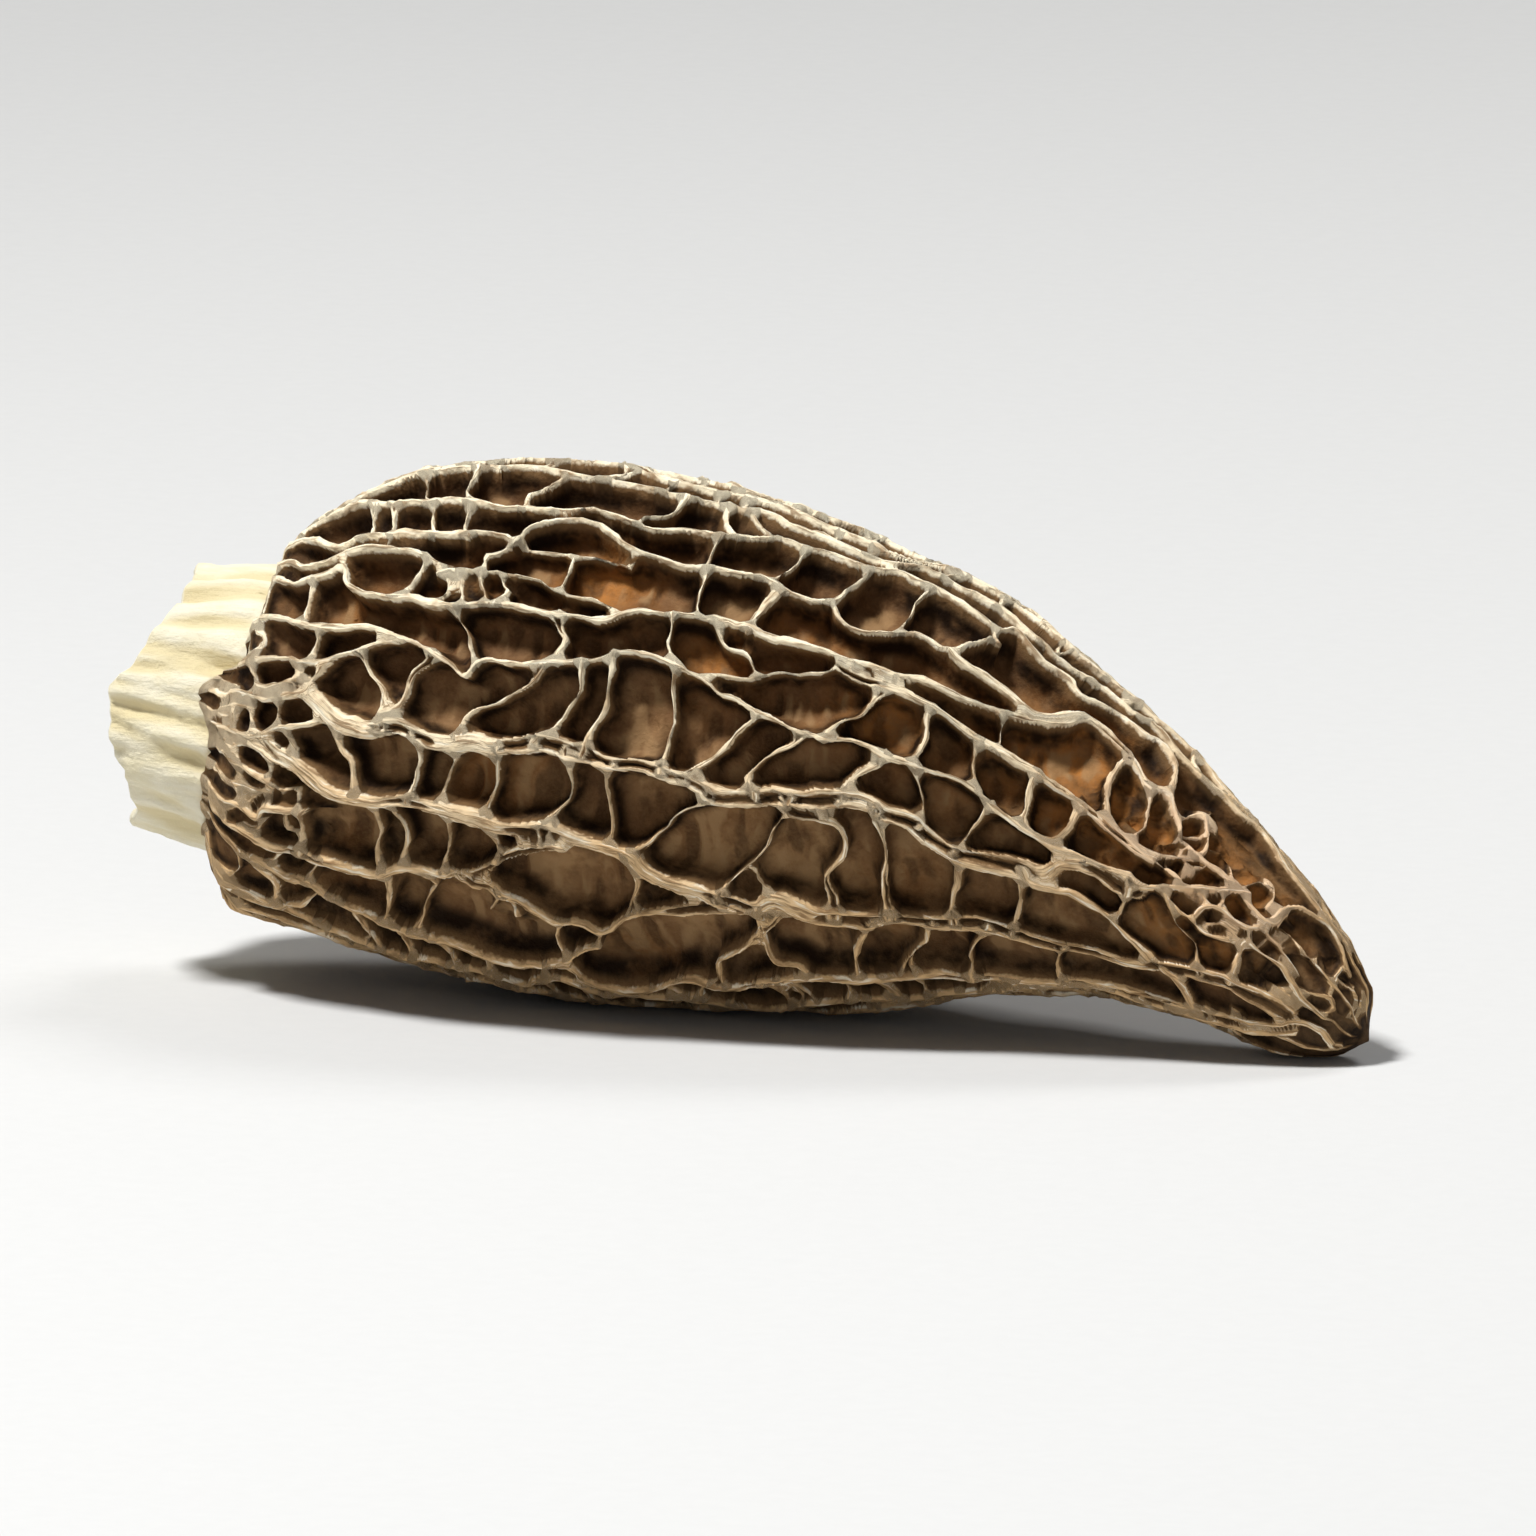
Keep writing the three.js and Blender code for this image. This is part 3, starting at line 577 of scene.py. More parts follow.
# ---------------------------------------------------------------- heights from the ribs
REACH = 3.0
WALL = 0.20
SPREAD = 1.15  # vertices this near to a rib are drawn in towards it, to make its walls clean
SLIM = ([0.26, 0.40], [0.56, 0.82])  # share of a rib's stated half width that its crest has: narrow and broad ribs
height = np.zeros(X.shape)
nearest = np.full(X.shape, REACH)
edge_on = np.zeros(X.shape)  # share of a rib's own height, 1 on its crest
toward = np.zeros(S.shape)
fibre = np.zeros(S.shape)
warped = S + 0.16 * np.stack([noise(S, 1.3, s) for s in (11, 12, 13)], -1) + 0.05 * np.stack([noise(S, 0.5, s) for s in (14, 15, 16)], -1)
row_mean = X.mean(axis=1)
thick = WALL * (1 - 0.45 * smooth(46, 56, X))
for number, (points, width, start_height, mid_height, end_height) in enumerate(lines):
    c = dense(points)
    P = crest_point(c[:, 0], c[:, 1])
    run = np.concatenate([[0], np.cumsum(np.linalg.norm(np.diff(P, axis=0), axis=1))])
    share = run / max(run[-1], 1e-6)
    bow = np.abs(2 * share - 1) ** 2.2
    tall = mid_height + (np.where(share < 0.5, start_height, end_height) - mid_height) * bow
    tall = tall * (1 + 0.045 * noise(np.stack([run, 0 * run, 0 * run + number * 7.3], -1), 2.2, 5))
    for at_end, free in ((run, ends_free[number][0]), (run[-1] - run, ends_free[number][1])):
        if free:
            tall = tall * (0.3 + 0.7 * smooth(0.0, 1.8, at_end))
    wide = width * float(np.interp(width, *SLIM)) * (1 + 0.35 * noise(np.stack([run, 0 * run + 3.7 * number, 0 * run], -1), 2.6, 6))
    if max(start_height, end_height) > mid_height:
        wide = wide * (1 + 0.4 * bow)
    R0 = int(np.searchsorted(row_mean, c[:, 0].min() - REACH - 0.8))
    R1 = int(np.searchsorted(row_mean, c[:, 0].max() + REACH + 0.8))
    if R1 <= R0:
        continue
    band = slice(R0, R1)
    d_best = np.full((R1 - R0, COLUMNS), REACH)
    got = np.zeros((R1 - R0, COLUMNS, 4))  # height share, half width, run along the rib, signed distance beside it
    way = np.zeros((R1 - R0, COLUMNS, 3))
    for s in range(0, len(P) - 1, 8):
        seg = P[s : s + 9]
        r0 = max(int(np.searchsorted(row_mean, c[s : s + 9, 0].min() - REACH - 0.8)), R0)
        r1 = min(int(np.searchsorted(row_mean, c[s : s + 9, 0].max() + REACH + 0.8)), R1)
        if r1 <= r0:
            continue
        radius = max(float(R[r0:r1].min()), 0.9)
        spread = math.degrees(min(REACH / radius, math.pi * 0.99))
        lo, hi = c[s : s + 9, 1].min() - spread, c[s : s + 9, 1].max() + spread
        if hi - lo >= 360:
            cols = np.arange(COLUMNS)
        else:
            cols = np.unique(np.mod(np.arange(math.floor(lo / 360 * COLUMNS), math.ceil(hi / 360 * COLUMNS) + 1), COLUMNS))
        block = np.ix_(range(r0 - R0, r1 - R0), cols)
        G = warped[r0:r1][:, cols]
        NG = N[r0:r1][:, cols]
        best, data, ways = d_best[block], got[block], way[block]
        for k in range(len(seg) - 1):
            a, ab = seg[k], seg[k + 1] - seg[k]
            size = float(ab @ ab)
            if size < 1e-10:
                continue
            t = np.clip(((G - a) @ ab) / size, 0, 1)
            off = a + t[..., None] * ab - G
            d = np.sqrt(np.sum(off * off, -1))
            m = d < best
            if not m.any():
                continue
            best[m] = d[m]
            tm = t[m]
            i = s + k
            data[m, 0] = tall[i] * (1 - tm) + tall[i + 1] * tm
            data[m, 1] = wide[i] * (1 - tm) + wide[i + 1] * tm
            data[m, 2] = run[i] * (1 - tm) + run[i + 1] * tm
            data[m, 3] = np.sign(np.sum(np.cross(ab, NG[m]) * off[m], -1))
            ways[m] = off[m]
        d_best[block], got[block], way[block] = best, data, ways
    m = d_best < REACH
    d = d_best[m]
    top, w = got[m, 0], np.maximum(got[m, 1], 0.06)
    g = SPREAD * (np.minimum(d, SPREAD) / SPREAD) ** 1.65 + np.maximum(d - SPREAD, 0)
    shift = (1 - g / np.maximum(d, 1e-6)) * np.minimum(1, R[band][m] / 4)
    g = d * (1 - shift)
    u = g / w
    # Broad crests are split by a groove that wanders from side to side and comes and goes.
    along = got[m, 2]
    split = smooth(0.17, 0.26, w) * smooth(-0.45, 0.1, noise(np.stack([along, 0 * along, 0 * along + number * 5.9], -1), 3.4, 7))
    middle = 0.3 * noise(np.stack([along, 0 * along + number * 2.3, 0 * along], -1), 4.5, 8)
    split = split * np.exp(-(((got[m, 3] * u - middle) / 0.42) ** 2))
    here = top * np.where(u < 1, 1 - 0.05 * u * u - 0.26 * split, 0.93 * np.exp(-np.maximum(g - w, 0) / thick[band][m]))
    hb, nb, fb, tb = height[band], nearest[band], fibre[band], toward[band]
    old = hb[m]
    join = 0.14
    lead = here > old
    f, tw = fb[m], tb[m]
    f[lead] = np.stack([got[m, 2], got[m, 3] * g, np.full(d.shape, number * 3.1)], -1)[lead]
    tw[lead] = (way[m] * shift[:, None])[lead]
    fb[m], tb[m] = f, tw
    hb[m] = np.maximum(here, old) + np.maximum(join - np.abs(here - old), 0) ** 2 / (4 * join)
    nb[m] = np.minimum(nb[m], g)
    eb = edge_on[band]
    eb[m] = np.maximum(eb[m], np.where(u < 1, 1 - 0.42 * split, 0.97 * np.exp(-np.maximum(g - w, 0) / thick[band][m])) * smooth(0.25, 0.6, top))

# The crumpled skin towards the tip: small cells with thin walls.
near_side = smooth(88, 100, A) * (1 - smooth(150, 172, A))
crumple = np.maximum(smooth(47.5, 53, X) * near_side, 0.6 * smooth(54, 58, X))
rows = slice(int(np.searchsorted(row_mean, 46.5)), CAP_ROWS)
walls = cell_edges(S[rows] + 0.35 * np.stack([noise(S[rows], 0.9, s) for s in (41, 42, 43)], -1), 1.6, 31)
tallness = 0.42 + 0.45 * noise(S[rows], 1.7, 44)  # some of its walls rise, others die out
shrivel = np.clip(tallness, 0.1, 1.1) * np.exp(-np.maximum(walls - 0.07, 0) / 0.15) * crumple[rows]
height[rows] = np.maximum(height[rows], shrivel) + np.maximum(0.14 - np.abs(height[rows] - shrivel), 0) ** 2 / 0.56 * crumple[rows]
nearest[rows] = np.minimum(nearest[rows], REACH + (walls - REACH) * (crumple[rows] > 0.35))
edge_on[rows] = np.maximum(edge_on[rows], np.exp(-np.maximum(walls - 0.07, 0) / 0.15) * crumple[rows] * smooth(0.25, 0.6, tallness))

# ---------------------------------------------------------------- pressing the pits in
shifting = toward - N * np.sum(toward * N, -1, keepdims=True)
S = S + shifting
past = X - margin[None, :]
depth_here = PIT_DEPTH * (0.16 + 0.84 * smooth(0, 4.4, past)) * (1 - 0.5 * smooth(44, 60, X)) * (1 - 0.6 * smooth(58, 62.5, X)) * np.minimum(1, R / 3.2)
share = np.clip(height, 0, 1.12) * (1 - 0.4 * smooth(62.3, 63.0, X))
edge_on = edge_on * (1 - 0.6 * smooth(62.6, 63.1, X))
relief = depth_here / PIT_DEPTH
roll = 0.22 * (layered(S, 6.0, 51, 2) - 0.4) * relief  # the crests aren't all as high
bowl = 0.32 * (1 - np.exp(-((nearest / 1.3) ** 2))) * relief
floor_mask = smooth(0.3, 0.8, nearest) * (1 - share)
fold = np.clip(2.1 * layered(S * np.array([1.0, 0.3, 0.3]) + 0.25 * noise(S, 2.5, 61)[..., None], 0.62, 62, 2), -1, 1)
folds = 0.18 * floor_mask * relief * fold
lumps = 0.20 * floor_mask * relief * layered(S, 1.5, 63, 3)
grain = 0.10 * smooth(59.5, 61, X) * (1 - smooth(62.2, 62.9, X)) * noise(S, 0.8, 67) + 0.035 * noise(S, 0.42, 64) + 0.02 * noise(S, 0.2, 65)
groove = 0.025 * np.cos(fibre[..., 1] * 2 * math.pi / 0.17 + 0.8 * noise(fibre, 1.6, 66)) * smooth(0.8, 0.95, share) * (1 - smooth(54, 58, X))
depth = depth_here * (1 - share) - roll + bowl + folds + lumps + grain + groove * relief
P = S - N * depth[..., None]
# The walls are thinnest a little below the crest.
mid = np.clip(share / 0.9, 0, 1)
pull = np.minimum(0.15 * 4 * mid * (1 - mid) * relief, 0.5 * nearest)
pull[np.linalg.norm(shifting, axis=-1) < 1e-4] = 0
P = P + unit(shifting) * pull[..., None]
# The walls lean a little, each region its own way.
sway = np.stack([noise(S, 8.0, 71), noise(S, 8.0, 72), noise(S, 8.0, 73)], -1)
sway = sway - N * np.sum(sway * N, -1, keepdims=True)
P = P + sway * (0.55 * relief * (1 - np.clip(share, 0, 1)))[..., None] * smooth(0.8, 4.0, past)[..., None]
# Takes the steps of the grid out of the walls, and leaves the crests sharp.
around = np.roll(P, 1, axis=1)[1:-1] + np.roll(P, -1, axis=1)[1:-1] + P[:-2] + P[2:]
easing = 0.5 * (1 - 0.8 * smooth(0.75, 0.95, share[1:-1]))[..., None]
P[1:-1] = (1 - easing) * P[1:-1] + easing * around / 4

# ---------------------------------------------------------------- stem, rim and hollow
edge = round_table(CUT, angle, 1.0) + 0.16 * noise(np.stack([np.cos(phi) * 6.4, np.sin(phi) * 6.4, 0 * phi], -1), 0.9, 81)
STEM_ROWS = 64


def flutes(x):
    total = np.zeros(x.shape)
    for a, deep, half, drift in FLUTES:
        off = np.mod(angle[None, :] - a - drift * x + 180, 360) - 180
        here = deep * np.exp(-((off / half) ** 2))
        total = total + here * (1 + 0.35 * np.sin(x * 1.3 + a))
    return total


share_stem = np.linspace(0, 1, STEM_ROWS)[:, None]
xs = edge[None, :] + 0.12 + (margin - edge - 0.12)[None, :] * share_stem
fl = 1.1 * flutes(xs) * (1 - 0.35 * smooth(0.75, 1, share_stem))
skin = np.stack([xs, np.cos(phi)[None, :] * 6.6 + 0 * xs, np.sin(phi)[None, :] * 6.6 + 0 * xs], -1)
crinkle = 0.10 * noise(skin * np.array([0.45, 1, 1]), 0.75, 82) + 0.045 * noise(skin * np.array([0.6, 1, 1]), 0.33, 83)
rs = stem_radius(xs) - fl + 0.12 + crinkle - 0.2 * smooth(0.9, 1.0, share_stem)


def stem_place(x, r):
    return place(lean(x, phi[None, :], r), np.broadcast_to(phi[None, :], x.shape), r, 1 + 0.02 * smooth(0, 4, x))


stem = stem_place(xs, rs)
# The cap's lip stands proud of the stem, and the rib ends reach a little over it.
reach_over = np.clip(height[0], 0, 1)[None, :]
lip_x = np.vstack([margin - 0.02 - 0.10 * reach_over[0], margin - 0.12 - 0.26 * reach_over[0]])
lip_r = np.vstack([stem_radius(margin) - 0.02 + 0 * margin, stem_radius(margin) + 0.16 + 0.24 * reach_over[0]])
lip = stem_place(lip_x, lip_r)
wall = 0.66 + 0.14 * noise(np.stack([np.cos(phi) * 6, np.sin(phi) * 6, 0 * phi], -1), 2.0, 84)
ro = rs[0]
ri = ro - wall
rim = stem_place(
    np.vstack([edge + 0.14, edge + 0.03, edge - 0.02, edge + 0.0, edge + 0.06]),
    np.vstack([ri, ri + wall * 0.16, ri + wall * 0.42, ri + wall * 0.7, ri + wall * 0.92]),
)
INNER_ROWS = 96
inner_x = np.linspace(0, 1, INNER_ROWS)[:, None]
inner_x = edge[None, :] + 0.3 + (54.2 - edge[None, :] - 0.3) * inner_x
inner_r = np.maximum(through(HOLLOW, inner_x, 1), 0)
near_cut = 1 - smooth(0.0, 6.0, inner_x - edge[None, :])
inner_r = inner_r * (1 - near_cut) + ri[None, :] * near_cut
inner_skin = np.stack([inner_x, np.cos(phi)[None, :] * inner_r, np.sin(phi)[None, :] * inner_r], -1)
inner_r = inner_r - (0.22 * layered(inner_skin, 2.6, 85, 3) + 0.03 * noise(inner_skin, 0.6, 86)) * np.minimum(1, inner_r / 3) - 0.05
inner_r = inner_r - 0.95 * smooth(4.5, 8.0, inner_x) * (1 - 0.35 * smooth(11, 15, inner_x)) * np.minimum(1, inner_r / 3)
inner_r = np.maximum(inner_r, 0.05)
inner = place(lean(inner_x, phi[None, :], inner_r), np.broadcast_to(phi[None, :], inner_x.shape), inner_r, 1.02)
blind = np.array([[54.4, float(through(FORM, np.array(54.4), 1)), float(through(FORM, np.array(54.4), 2))]])

# ---------------------------------------------------------------- one closed mesh
# From the blind end of the hollow out through the bore, over the rim, up the stem and along the cap to the tip.
rings = [inner[::-1], rim, stem, lip, P[:-1]]
verts = np.concatenate([blind] + [r.reshape(-1, 3) for r in rings] + [P[-1].mean(axis=0)[None, :]])
count = sum(len(r) for r in rings)
verts[:, 2] = np.where(verts[:, 2] < 0.9, 0.5 + 0.4 * np.exp((np.minimum(verts[:, 2], 0.9) - 0.9) / 0.4), verts[:, 2])
verts = verts - ORIGIN


def attribute(of_inner, of_rim, of_stem, of_lip, of_cap):
    """One value per vertex from a value or an array for each stretch of rings."""
    parts = [np.array([0.0])]
    for value, ring in zip((of_inner, of_rim, of_stem, of_lip, of_cap), rings):
        parts.append(np.broadcast_to(value, ring.shape[:2]).reshape(-1))
    return np.concatenate(parts + [parts[-1][-1:]]).astype(np.float32)


depth_in = (inner_x - edge[None, :])[::-1] / 54
warm = np.zeros(X.shape)
for wx, wa, size, power in ((25.5, 129, 2.6, 1.0), (18.5, 137, 2.0, 0.9), (33, 143, 2.2, 0.8), (41, 147, 2.4, 0.7), (13, 139, 1.8, 0.6),
                            (47, 124, 3.0, 0.9), (51, 135, 3.4, 1.0), (54.0, 130, 3.2, 1.0), (56.5, 131, 2.4, 1.0), (49, 115, 3.0, 1.0), (56, 166, 2.6, 0.8), (36, 128, 2.4, 0.5),
                            (22, 180, 2.5, 0.35), (30, 300, 5.0, 0.5), (18, 20, 4.5, 0.6), (40, 40, 5.0, 0.7), (48, 330, 4.0, 0.6)):
    gap = np.hypot(X - wx, np.radians(np.mod(A - wa + 180, 360) - 180) * R)
    warm = np.maximum(warm, power * np.exp(-((gap / size) ** 2)))
warm = np.clip(warm + 0.25 * smooth(0.15, 0.7, layered(S, 7.0, 91, 2)), 0, 1)
data = {
    "crest": attribute(0, 0, 0, np.clip(height[:1], 0, 1) * 0.8, np.clip(height[:-1], 0, 1)),
    "edge": attribute(0, 0, 0, edge_on[:1], edge_on[:-1]),
    "gap": attribute(0, 0, 0, 0.1, np.clip(nearest[:-1] / REACH, 0, 1)),
    "stem": attribute(0, 1, 1, 0, 0),
    "hollow": attribute(1, 0, 0, 0, 0),
    "inward": attribute(depth_in, 0, 0, 0, 0),
    "flute": attribute(0, 0.2, np.clip(fl / 0.4, 0, 1), 0, 0),
    "warm": attribute(0, 0, 0, warm[:1], warm[:-1]),
    "wrinkle": attribute(0, 0, 0, 0, crumple[:-1]),
    # fold: where the floor folds stand up or sink in, for the painted light and shade on them.
    "fold": attribute(0, 0, 0, 0.5, 0.5 - 0.5 * (fold * floor_mask)[:-1]),
}
fib = np.zeros((len(verts), 3), np.float32)
begin = 1 + sum(len(r) for r in rings[:-1]) * COLUMNS
fib[begin : begin + (CAP_ROWS - 1) * COLUMNS] = fibre[:-1].reshape(-1, 3)

ring_start = 1 + np.arange(count) * COLUMNS
j = np.arange(COLUMNS)
jn = (j + 1) % COLUMNS
a = (ring_start[:-1, None] + j).reshape(-1)
b = (ring_start[:-1, None] + jn).reshape(-1)
c = (ring_start[1:, None] + jn).reshape(-1)
d = (ring_start[1:, None] + j).reshape(-1)
quads = np.stack([a, b, c, d], -1)
first = np.stack([np.zeros(COLUMNS, int), 1 + jn, 1 + j], -1)
last_index = len(verts) - 1
final = np.stack([np.full(COLUMNS, last_index), ring_start[-1] + j, ring_start[-1] + jn], -1)
tris = np.concatenate([quads[:, [0, 1, 2]], quads[:, [0, 2, 3]], first, final])
tv = verts[tris]
if np.sum(np.cross(tv[:, 0], tv[:, 1]) * tv[:, 2]) < 0:
    tris = tris[:, ::-1]

mesh = bpy.data.meshes.new("morel")
mesh.vertices.add(len(verts))
mesh.vertices.foreach_set("co", (verts * 0.001).astype(np.float32).reshape(-1))
mesh.loops.add(len(tris) * 3)
mesh.loops.foreach_set("vertex_index", tris.astype(np.int32).reshape(-1))
mesh.polygons.add(len(tris))
mesh.polygons.foreach_set("loop_start", np.arange(len(tris), dtype=np.int32) * 3)
mesh.update(calc_edges=True)
for name, values in data.items():
    mesh.attributes.new(name, "FLOAT", "POINT").data.foreach_set("value", values)
mesh.attributes.new("fib", "FLOAT_VECTOR", "POINT").data.foreach_set("vector", fib.reshape(-1))
morel = bpy.data.objects.new("morel", mesh)
bpy.context.collection.objects.link(morel)

TRIANGLES = 197000
thin = morel.modifiers.new("thin", "DECIMATE")
thin.ratio = TRIANGLES / len(tris)
graph = bpy.context.evaluated_depsgraph_get()
thinned = bpy.data.meshes.new_from_object(morel.evaluated_get(graph), preserve_all_data_layers=True, depsgraph=graph)
morel.modifiers.clear()
morel.data = thinned
bpy.data.meshes.remove(mesh)
thinned.name = "morel"
thinned.shade_smooth()
print("triangles", len(thinned.polygons), "attributes", [x.name for x in thinned.attributes])


# ---------------------------------------------------------------- material
class Nodes:
    """Short calls for building a node tree."""

    def __init__(self, material):
        material.use_nodes = True
        self.tree = material.node_tree
        self.tree.nodes.clear()

    def add(self, kind, **props):
        n = self.tree.nodes.new(kind)
        for k, v in props.items():
            setattr(n, k, v)
        return n

    def put(self, socket, value):
        if isinstance(value, bpy.types.NodeSocket):
            self.tree.links.new(value, socket)
        elif isinstance(value, (tuple, list)) and len(value) == 3 and socket.type == "RGBA":
            socket.default_value = (*value, 1)
        else:
            socket.default_value = value

    def attribute(self, name, vector=False):
        n = self.add("ShaderNodeAttribute", attribute_name=name, attribute_type="GEOMETRY")
        return n.outputs["Vector" if vector else "Fac"]

    def maths(self, op, a, b=None, c=None, clamp=False):
        n = self.add("ShaderNodeMath", operation=op, use_clamp=clamp)
        for s, v in zip(n.inputs, (a, b, c)):
            if v is not None:
                self.put(s, v)
        return n.outputs[0]

    def step(self, value, low, high, to_low=0.0, to_high=1.0):
        n = self.add("ShaderNodeMapRange", interpolation_type="SMOOTHSTEP")
        for s, v in zip(("Value", "From Min", "From Max", "To Min", "To Max"), (value, low, high, to_low, to_high)):
            self.put(n.inputs[s], v)
        return n.outputs["Result"]

    def mix(self, factor, a, b, blend="MIX"):
        n = self.add("ShaderNodeMix", data_type="RGBA", blend_type=blend)
        self.put(n.inputs[0], factor)
        self.put(n.inputs[6], a)
        self.put(n.inputs[7], b)
        return n.outputs[2]

    def noise(self, vector, scale, detail=3.0, rough=0.55, distortion=0.0):
        n = self.add("ShaderNodeTexNoise", noise_dimensions="3D")
        self.put(n.inputs["Vector"], vector)
        self.put(n.inputs["Scale"], scale)
        self.put(n.inputs["Detail"], detail)
        self.put(n.inputs["Roughness"], rough)
        self.put(n.inputs["Distortion"], distortion)
        return n.outputs["Fac"]

    def scaled(self, vector, factors):
        n = self.add("ShaderNodeVectorMath", operation="MULTIPLY")
        self.put(n.inputs[0], vector)
        n.inputs[1].default_value = factors
        return n.outputs[0]


flesh = bpy.data.materials.new("dried_flesh")
k = Nodes(flesh)
where = k.add("ShaderNodeTexCoord").outputs["Object"]
mm = k.scaled(where, (1000, 1000, 1000))
crest, edge_mask, gap, stem_mask, hollow = (k.attribute(n) for n in ("crest", "edge", "gap", "stem", "hollow"))
inward, flute, warm_mask, wrinkle, fold_light_and_shade = (k.attribute(n) for n in ("inward", "flute", "warm", "wrinkle", "fold"))
fib_vec = k.attribute("fib", vector=True)
split = k.add("ShaderNodeSeparateXYZ")
k.put(split.inputs[0], mm)
height_mm = split.outputs["Z"]

broad = k.noise(mm, 0.22, 3)
blotch = k.noise(mm, 0.9, 4, 0.6)
speck = k.noise(mm, 5.0, 3, 0.6)
strand = k.noise(k.scaled(fib_vec, (0.6, 8.0, 1.0)), 1.0, 2, 0.5)
patch = k.noise(mm, 0.75, 3, 0.6)

# Pit floors: brown, with painted shade in the corners at the foot of the ribs, rust-red here and there.
floor_colour = k.mix(k.step(broad, 0.36, 0.64), (0.205, 0.107, 0.045), (0.365, 0.215, 0.097))
floor_colour = k.mix(k.step(height_mm, 9.0, 19.0, 0.0, 0.6), floor_colour, (0.150, 0.068, 0.030))
floor_colour = k.mix(k.step(blotch, 0.40, 0.66, 0.0, 0.65), floor_colour, (0.125, 0.058, 0.022))
floor_colour = k.mix(k.maths("MULTIPLY", warm_mask, k.step(blotch, 0.30, 0.60, 0.35, 1.0)), floor_colour, (0.47, 0.19, 0.045))
# Painted light on the raised tops of the floor folds and painted shade down in their grooves.
floor_colour = k.mix(k.step(fold_light_and_shade, 0.55, 0.85, 0.0, 0.7), floor_colour, (0.37, 0.225, 0.105))
floor_colour = k.mix(k.step(fold_light_and_shade, 0.45, 0.15, 0.0, 0.6), floor_colour, (0.050, 0.024, 0.010))
floor_colour = k.mix(k.step(speck, 0.38, 0.7, 0.0, 0.22), floor_colour, (0.31, 0.18, 0.08))
patchy = k.step(k.noise(mm, 0.55, 3, 0.6), 0.36, 0.62, 0.35, 1.0)
# Painted shade: the floor goes near black at the foot of the ribs, patchily and less on the crumpled tip.
painted_corner_shade = k.maths("MULTIPLY", k.step(gap, 0.0, 0.26, 0.98, 0.0), k.step(wrinkle, 0.0, 1.0, 1.0, 0.35))
painted_corner_shade = k.maths("MULTIPLY", painted_corner_shade, patchy)
floor_colour = k.mix(painted_corner_shade, floor_colour, (0.008, 0.004, 0.002))
# Crests: tan low down, cream towards the top as painted light from above, with lengthwise strands.
painted_top_light = k.step(k.maths("ADD", height_mm, k.maths("MULTIPLY", k.maths("SUBTRACT", broad, 0.5), 14.0)), 4.0, 22.0)
crest_colour = k.mix(painted_top_light, (0.68, 0.45, 0.225), (0.98, 0.86, 0.62))
crest_colour = k.mix(k.step(patch, 0.50, 0.68, 0.0, 0.55), crest_colour, (0.47, 0.30, 0.15))
crest_colour = k.mix(k.step(strand, 0.50, 0.66, 0.0, 0.75), crest_colour, (0.24, 0.135, 0.06))
# Painted highlights: near-white streaks along some of the strands.
crest_colour = k.mix(k.step(strand, 0.46, 0.32, 0.0, 0.75), crest_colour, (0.98, 0.90, 0.72))
crest_colour = k.mix(k.maths("MULTIPLY", wrinkle, k.maths("MULTIPLY", warm_mask, 0.6)), crest_colour, (0.84, 0.58, 0.38))
# Painted shade: the floors go near black towards the bottom, under the belly.
painted_belly_shade = k.step(height_mm, 7.0, 1.5, 0.0, 0.6)
floor_colour = k.mix(painted_belly_shade, floor_colour, (0.016, 0.010, 0.007))
# Painted shade on the rib walls: near black low down and dark brown on the flanks just below the crest; the crest
# colour goes over the top.
painted_wall_shade = k.mix(k.maths("MULTIPLY", patchy, 0.92), floor_colour, (0.010, 0.005, 0.0025))
cap_colour = k.mix(k.step(crest, 0.06, 0.35), floor_colour, painted_wall_shade)
crest_and_flank_shade_mask = k.maths("ADD", edge_mask, k.maths("MULTIPLY", k.maths("SUBTRACT", speck, 0.5), 0.12))
cap_colour = k.mix(k.step(crest_and_flank_shade_mask, 0.52, 0.89, 0.0, 0.9), cap_colour, (0.19, 0.108, 0.047))
cap_colour = k.mix(k.step(crest_and_flank_shade_mask, 0.845, 0.95), cap_colour, crest_colour)
# Stem: cream, ochre-yellow down in the flutes, partly its own colour and partly painted shade in the grooves.
stem_tone = k.noise(k.scaled(mm, (0.35, 1.0, 1.0)), 1.1, 4, 0.6)
stem_colour = k.mix(k.step(stem_tone, 0.35, 0.7, 0.0, 0.6), (0.82, 0.765, 0.60), (0.74, 0.65, 0.41))
stem_colour = k.mix(k.step(flute, 0.15, 0.8, 0.0, 0.85), stem_colour, (0.70, 0.595, 0.35))
# Inside: ochre near the mouth, darkening to brown further in as painted shade deep in the hollow.
inside_colour = k.mix(k.step(inward, 0.05, 0.8), (0.66, 0.46, 0.18), (0.42, 0.25, 0.11))
inside_colour = k.mix(k.step(blotch, 0.4, 0.7, 0.0, 0.45), inside_colour, (0.36, 0.20, 0.06))
colour = k.mix(k.step(stem_mask, 0.35, 0.65), cap_colour, stem_colour)
colour = k.mix(k.step(hollow, 0.35, 0.65), colour, inside_colour)

rough = k.step(crest, 0.4, 0.9, 0.62, 0.80)
rough = k.maths("ADD", rough, k.maths("MULTIPLY", k.maths("SUBTRACT", speck, 0.5), 0.15))

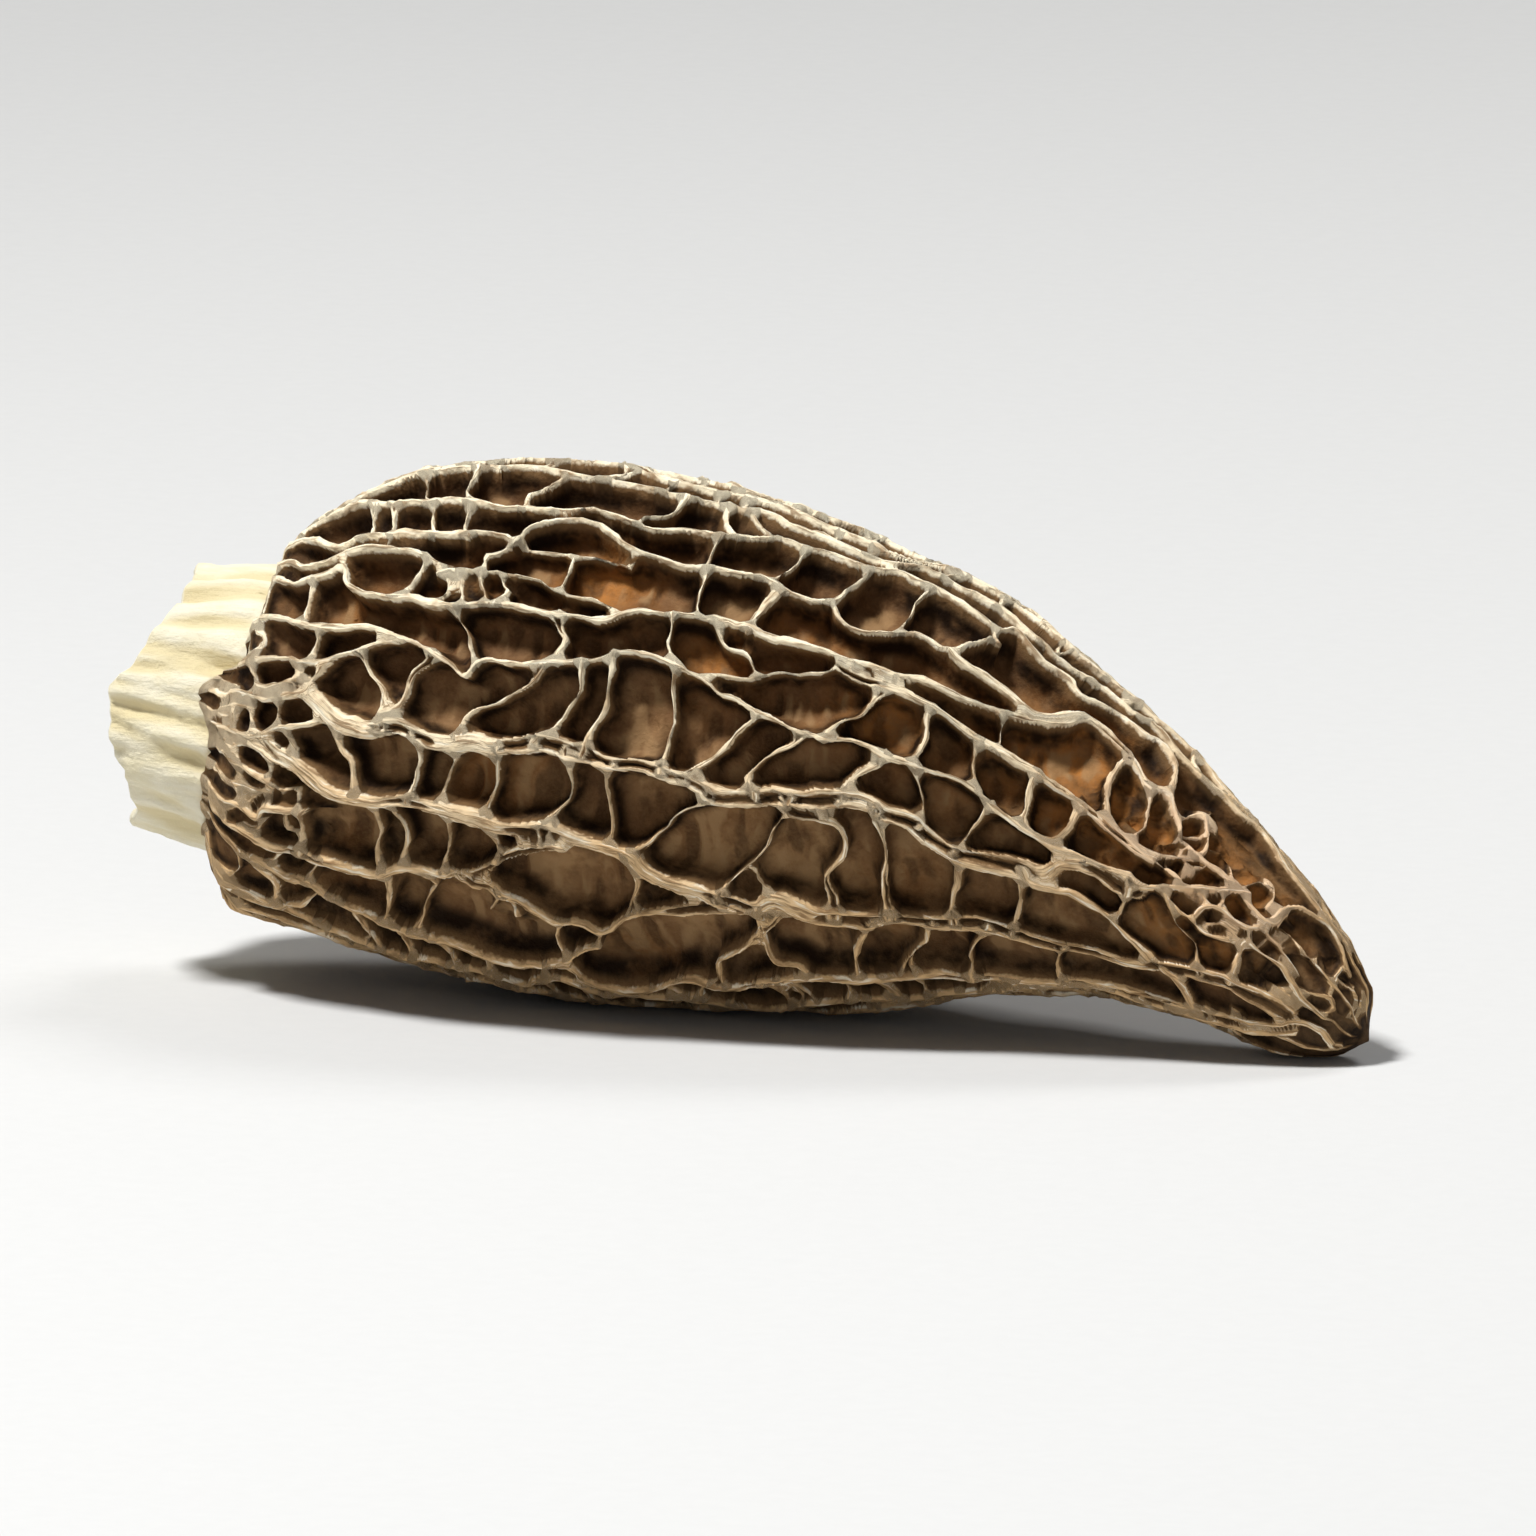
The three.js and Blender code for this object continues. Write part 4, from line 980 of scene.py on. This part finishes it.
fine = k.noise(mm, 3.2, 4, 0.65)
strand_height = k.maths("MULTIPLY", k.maths("SUBTRACT", strand, 0.5), k.step(crest, 0.45, 0.85))
stem_lines = k.noise(k.scaled(mm, (0.5, 3.0, 3.0)), 1.0, 4, 0.6)
bump_value = k.maths("ADD", k.maths("MULTIPLY", fine, 0.55), k.maths("MULTIPLY", strand_height, 1.1))
bump_value = k.maths("ADD", bump_value, k.maths("MULTIPLY", k.maths("MULTIPLY", stem_lines, stem_mask), 0.7))
bump = k.add("ShaderNodeBump")
bump.inputs["Strength"].default_value = 0.75
bump.inputs["Distance"].default_value = 0.00022
k.put(bump.inputs["Height"], bump_value)

shader = k.add("ShaderNodeBsdfPrincipled")
k.put(shader.inputs["Base Color"], colour)
k.put(shader.inputs["Roughness"], rough)
shader.inputs["Specular IOR Level"].default_value = 0.06
k.put(shader.inputs["Normal"], bump.outputs[0])
out = k.add("ShaderNodeOutputMaterial")
k.put(out.inputs["Surface"], shader.outputs[0])
thinned.materials.clear()
thinned.materials.append(flesh)

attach(morel, "root")
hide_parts(NODE)

# ---------------------------------------------------------------- floor, light, camera
floor_mesh = bpy.data.meshes.new("floor")
floor_mesh.from_pydata([(-5, -5, 0), (5, -5, 0), (5, 5, 0), (-5, 5, 0)], [], [(0, 1, 2, 3)])
floor = bpy.data.objects.new("floor", floor_mesh)
bpy.context.collection.objects.link(floor)
paper = bpy.data.materials.new("paper")
f = Nodes(paper)
paper_shader = f.add("ShaderNodeBsdfPrincipled")
tone = f.noise(f.add("ShaderNodeTexCoord").outputs["Object"], 900.0, 2)
f.put(paper_shader.inputs["Base Color"], f.mix(tone, (0.66, 0.66, 0.65), (0.69, 0.69, 0.68)))
paper_shader.inputs["Roughness"].default_value = 0.9
f.put(f.add("ShaderNodeOutputMaterial").inputs["Surface"], paper_shader.outputs[0])
floor_mesh.materials.append(paper)

world = bpy.context.scene.world or bpy.data.worlds.new("studio")
bpy.context.scene.world = world
world.use_nodes = True
world.node_tree.nodes["Background"].inputs["Color"].default_value = (1, 1, 1, 1)
world.node_tree.nodes["Background"].inputs["Strength"].default_value = 0.10


def area(name, at, aim, size, watts, colour=(1, 1, 1)):
    light = bpy.data.lights.new(name, "AREA")
    light.size, light.energy, light.color = size, watts, colour
    o = bpy.data.objects.new(name, light)
    o.location = at
    o.rotation_euler = (Vector(aim) - Vector(at)).to_track_quat("-Z", "Y").to_euler()
    bpy.context.collection.objects.link(o)


area("key", (-0.20, -0.26, 0.72), (0, 0, 0.01), 0.15, 7.4)
area("back", (0.12, 0.42, 0.62), (0, 0, 0.01), 0.26, 1.5)
area("fill", (0.45, -0.75, 0.22), (0, 0, 0.01), 0.5, 0.5)

AZIMUTH, ELEVATION, AWAY = math.radians(22), math.radians(10), 1.25
aim = Vector((0.0005, 0.0, 0.0118))
back = Vector((math.sin(AZIMUTH) * math.cos(ELEVATION), -math.cos(AZIMUTH) * math.cos(ELEVATION), math.sin(ELEVATION)))
camera = bpy.data.objects.new("camera", bpy.data.cameras.new("camera"))
camera.data.sensor_width = 36
camera.data.lens = 36 * AWAY / 0.074
camera.data.clip_start = 0.05
camera.location = aim + back * AWAY
camera.rotation_euler = (-back).to_track_quat("-Z", "Y").to_euler()
bpy.context.collection.objects.link(camera)
bpy.context.scene.camera = camera
bpy.context.scene.view_settings.view_transform = "Standard"
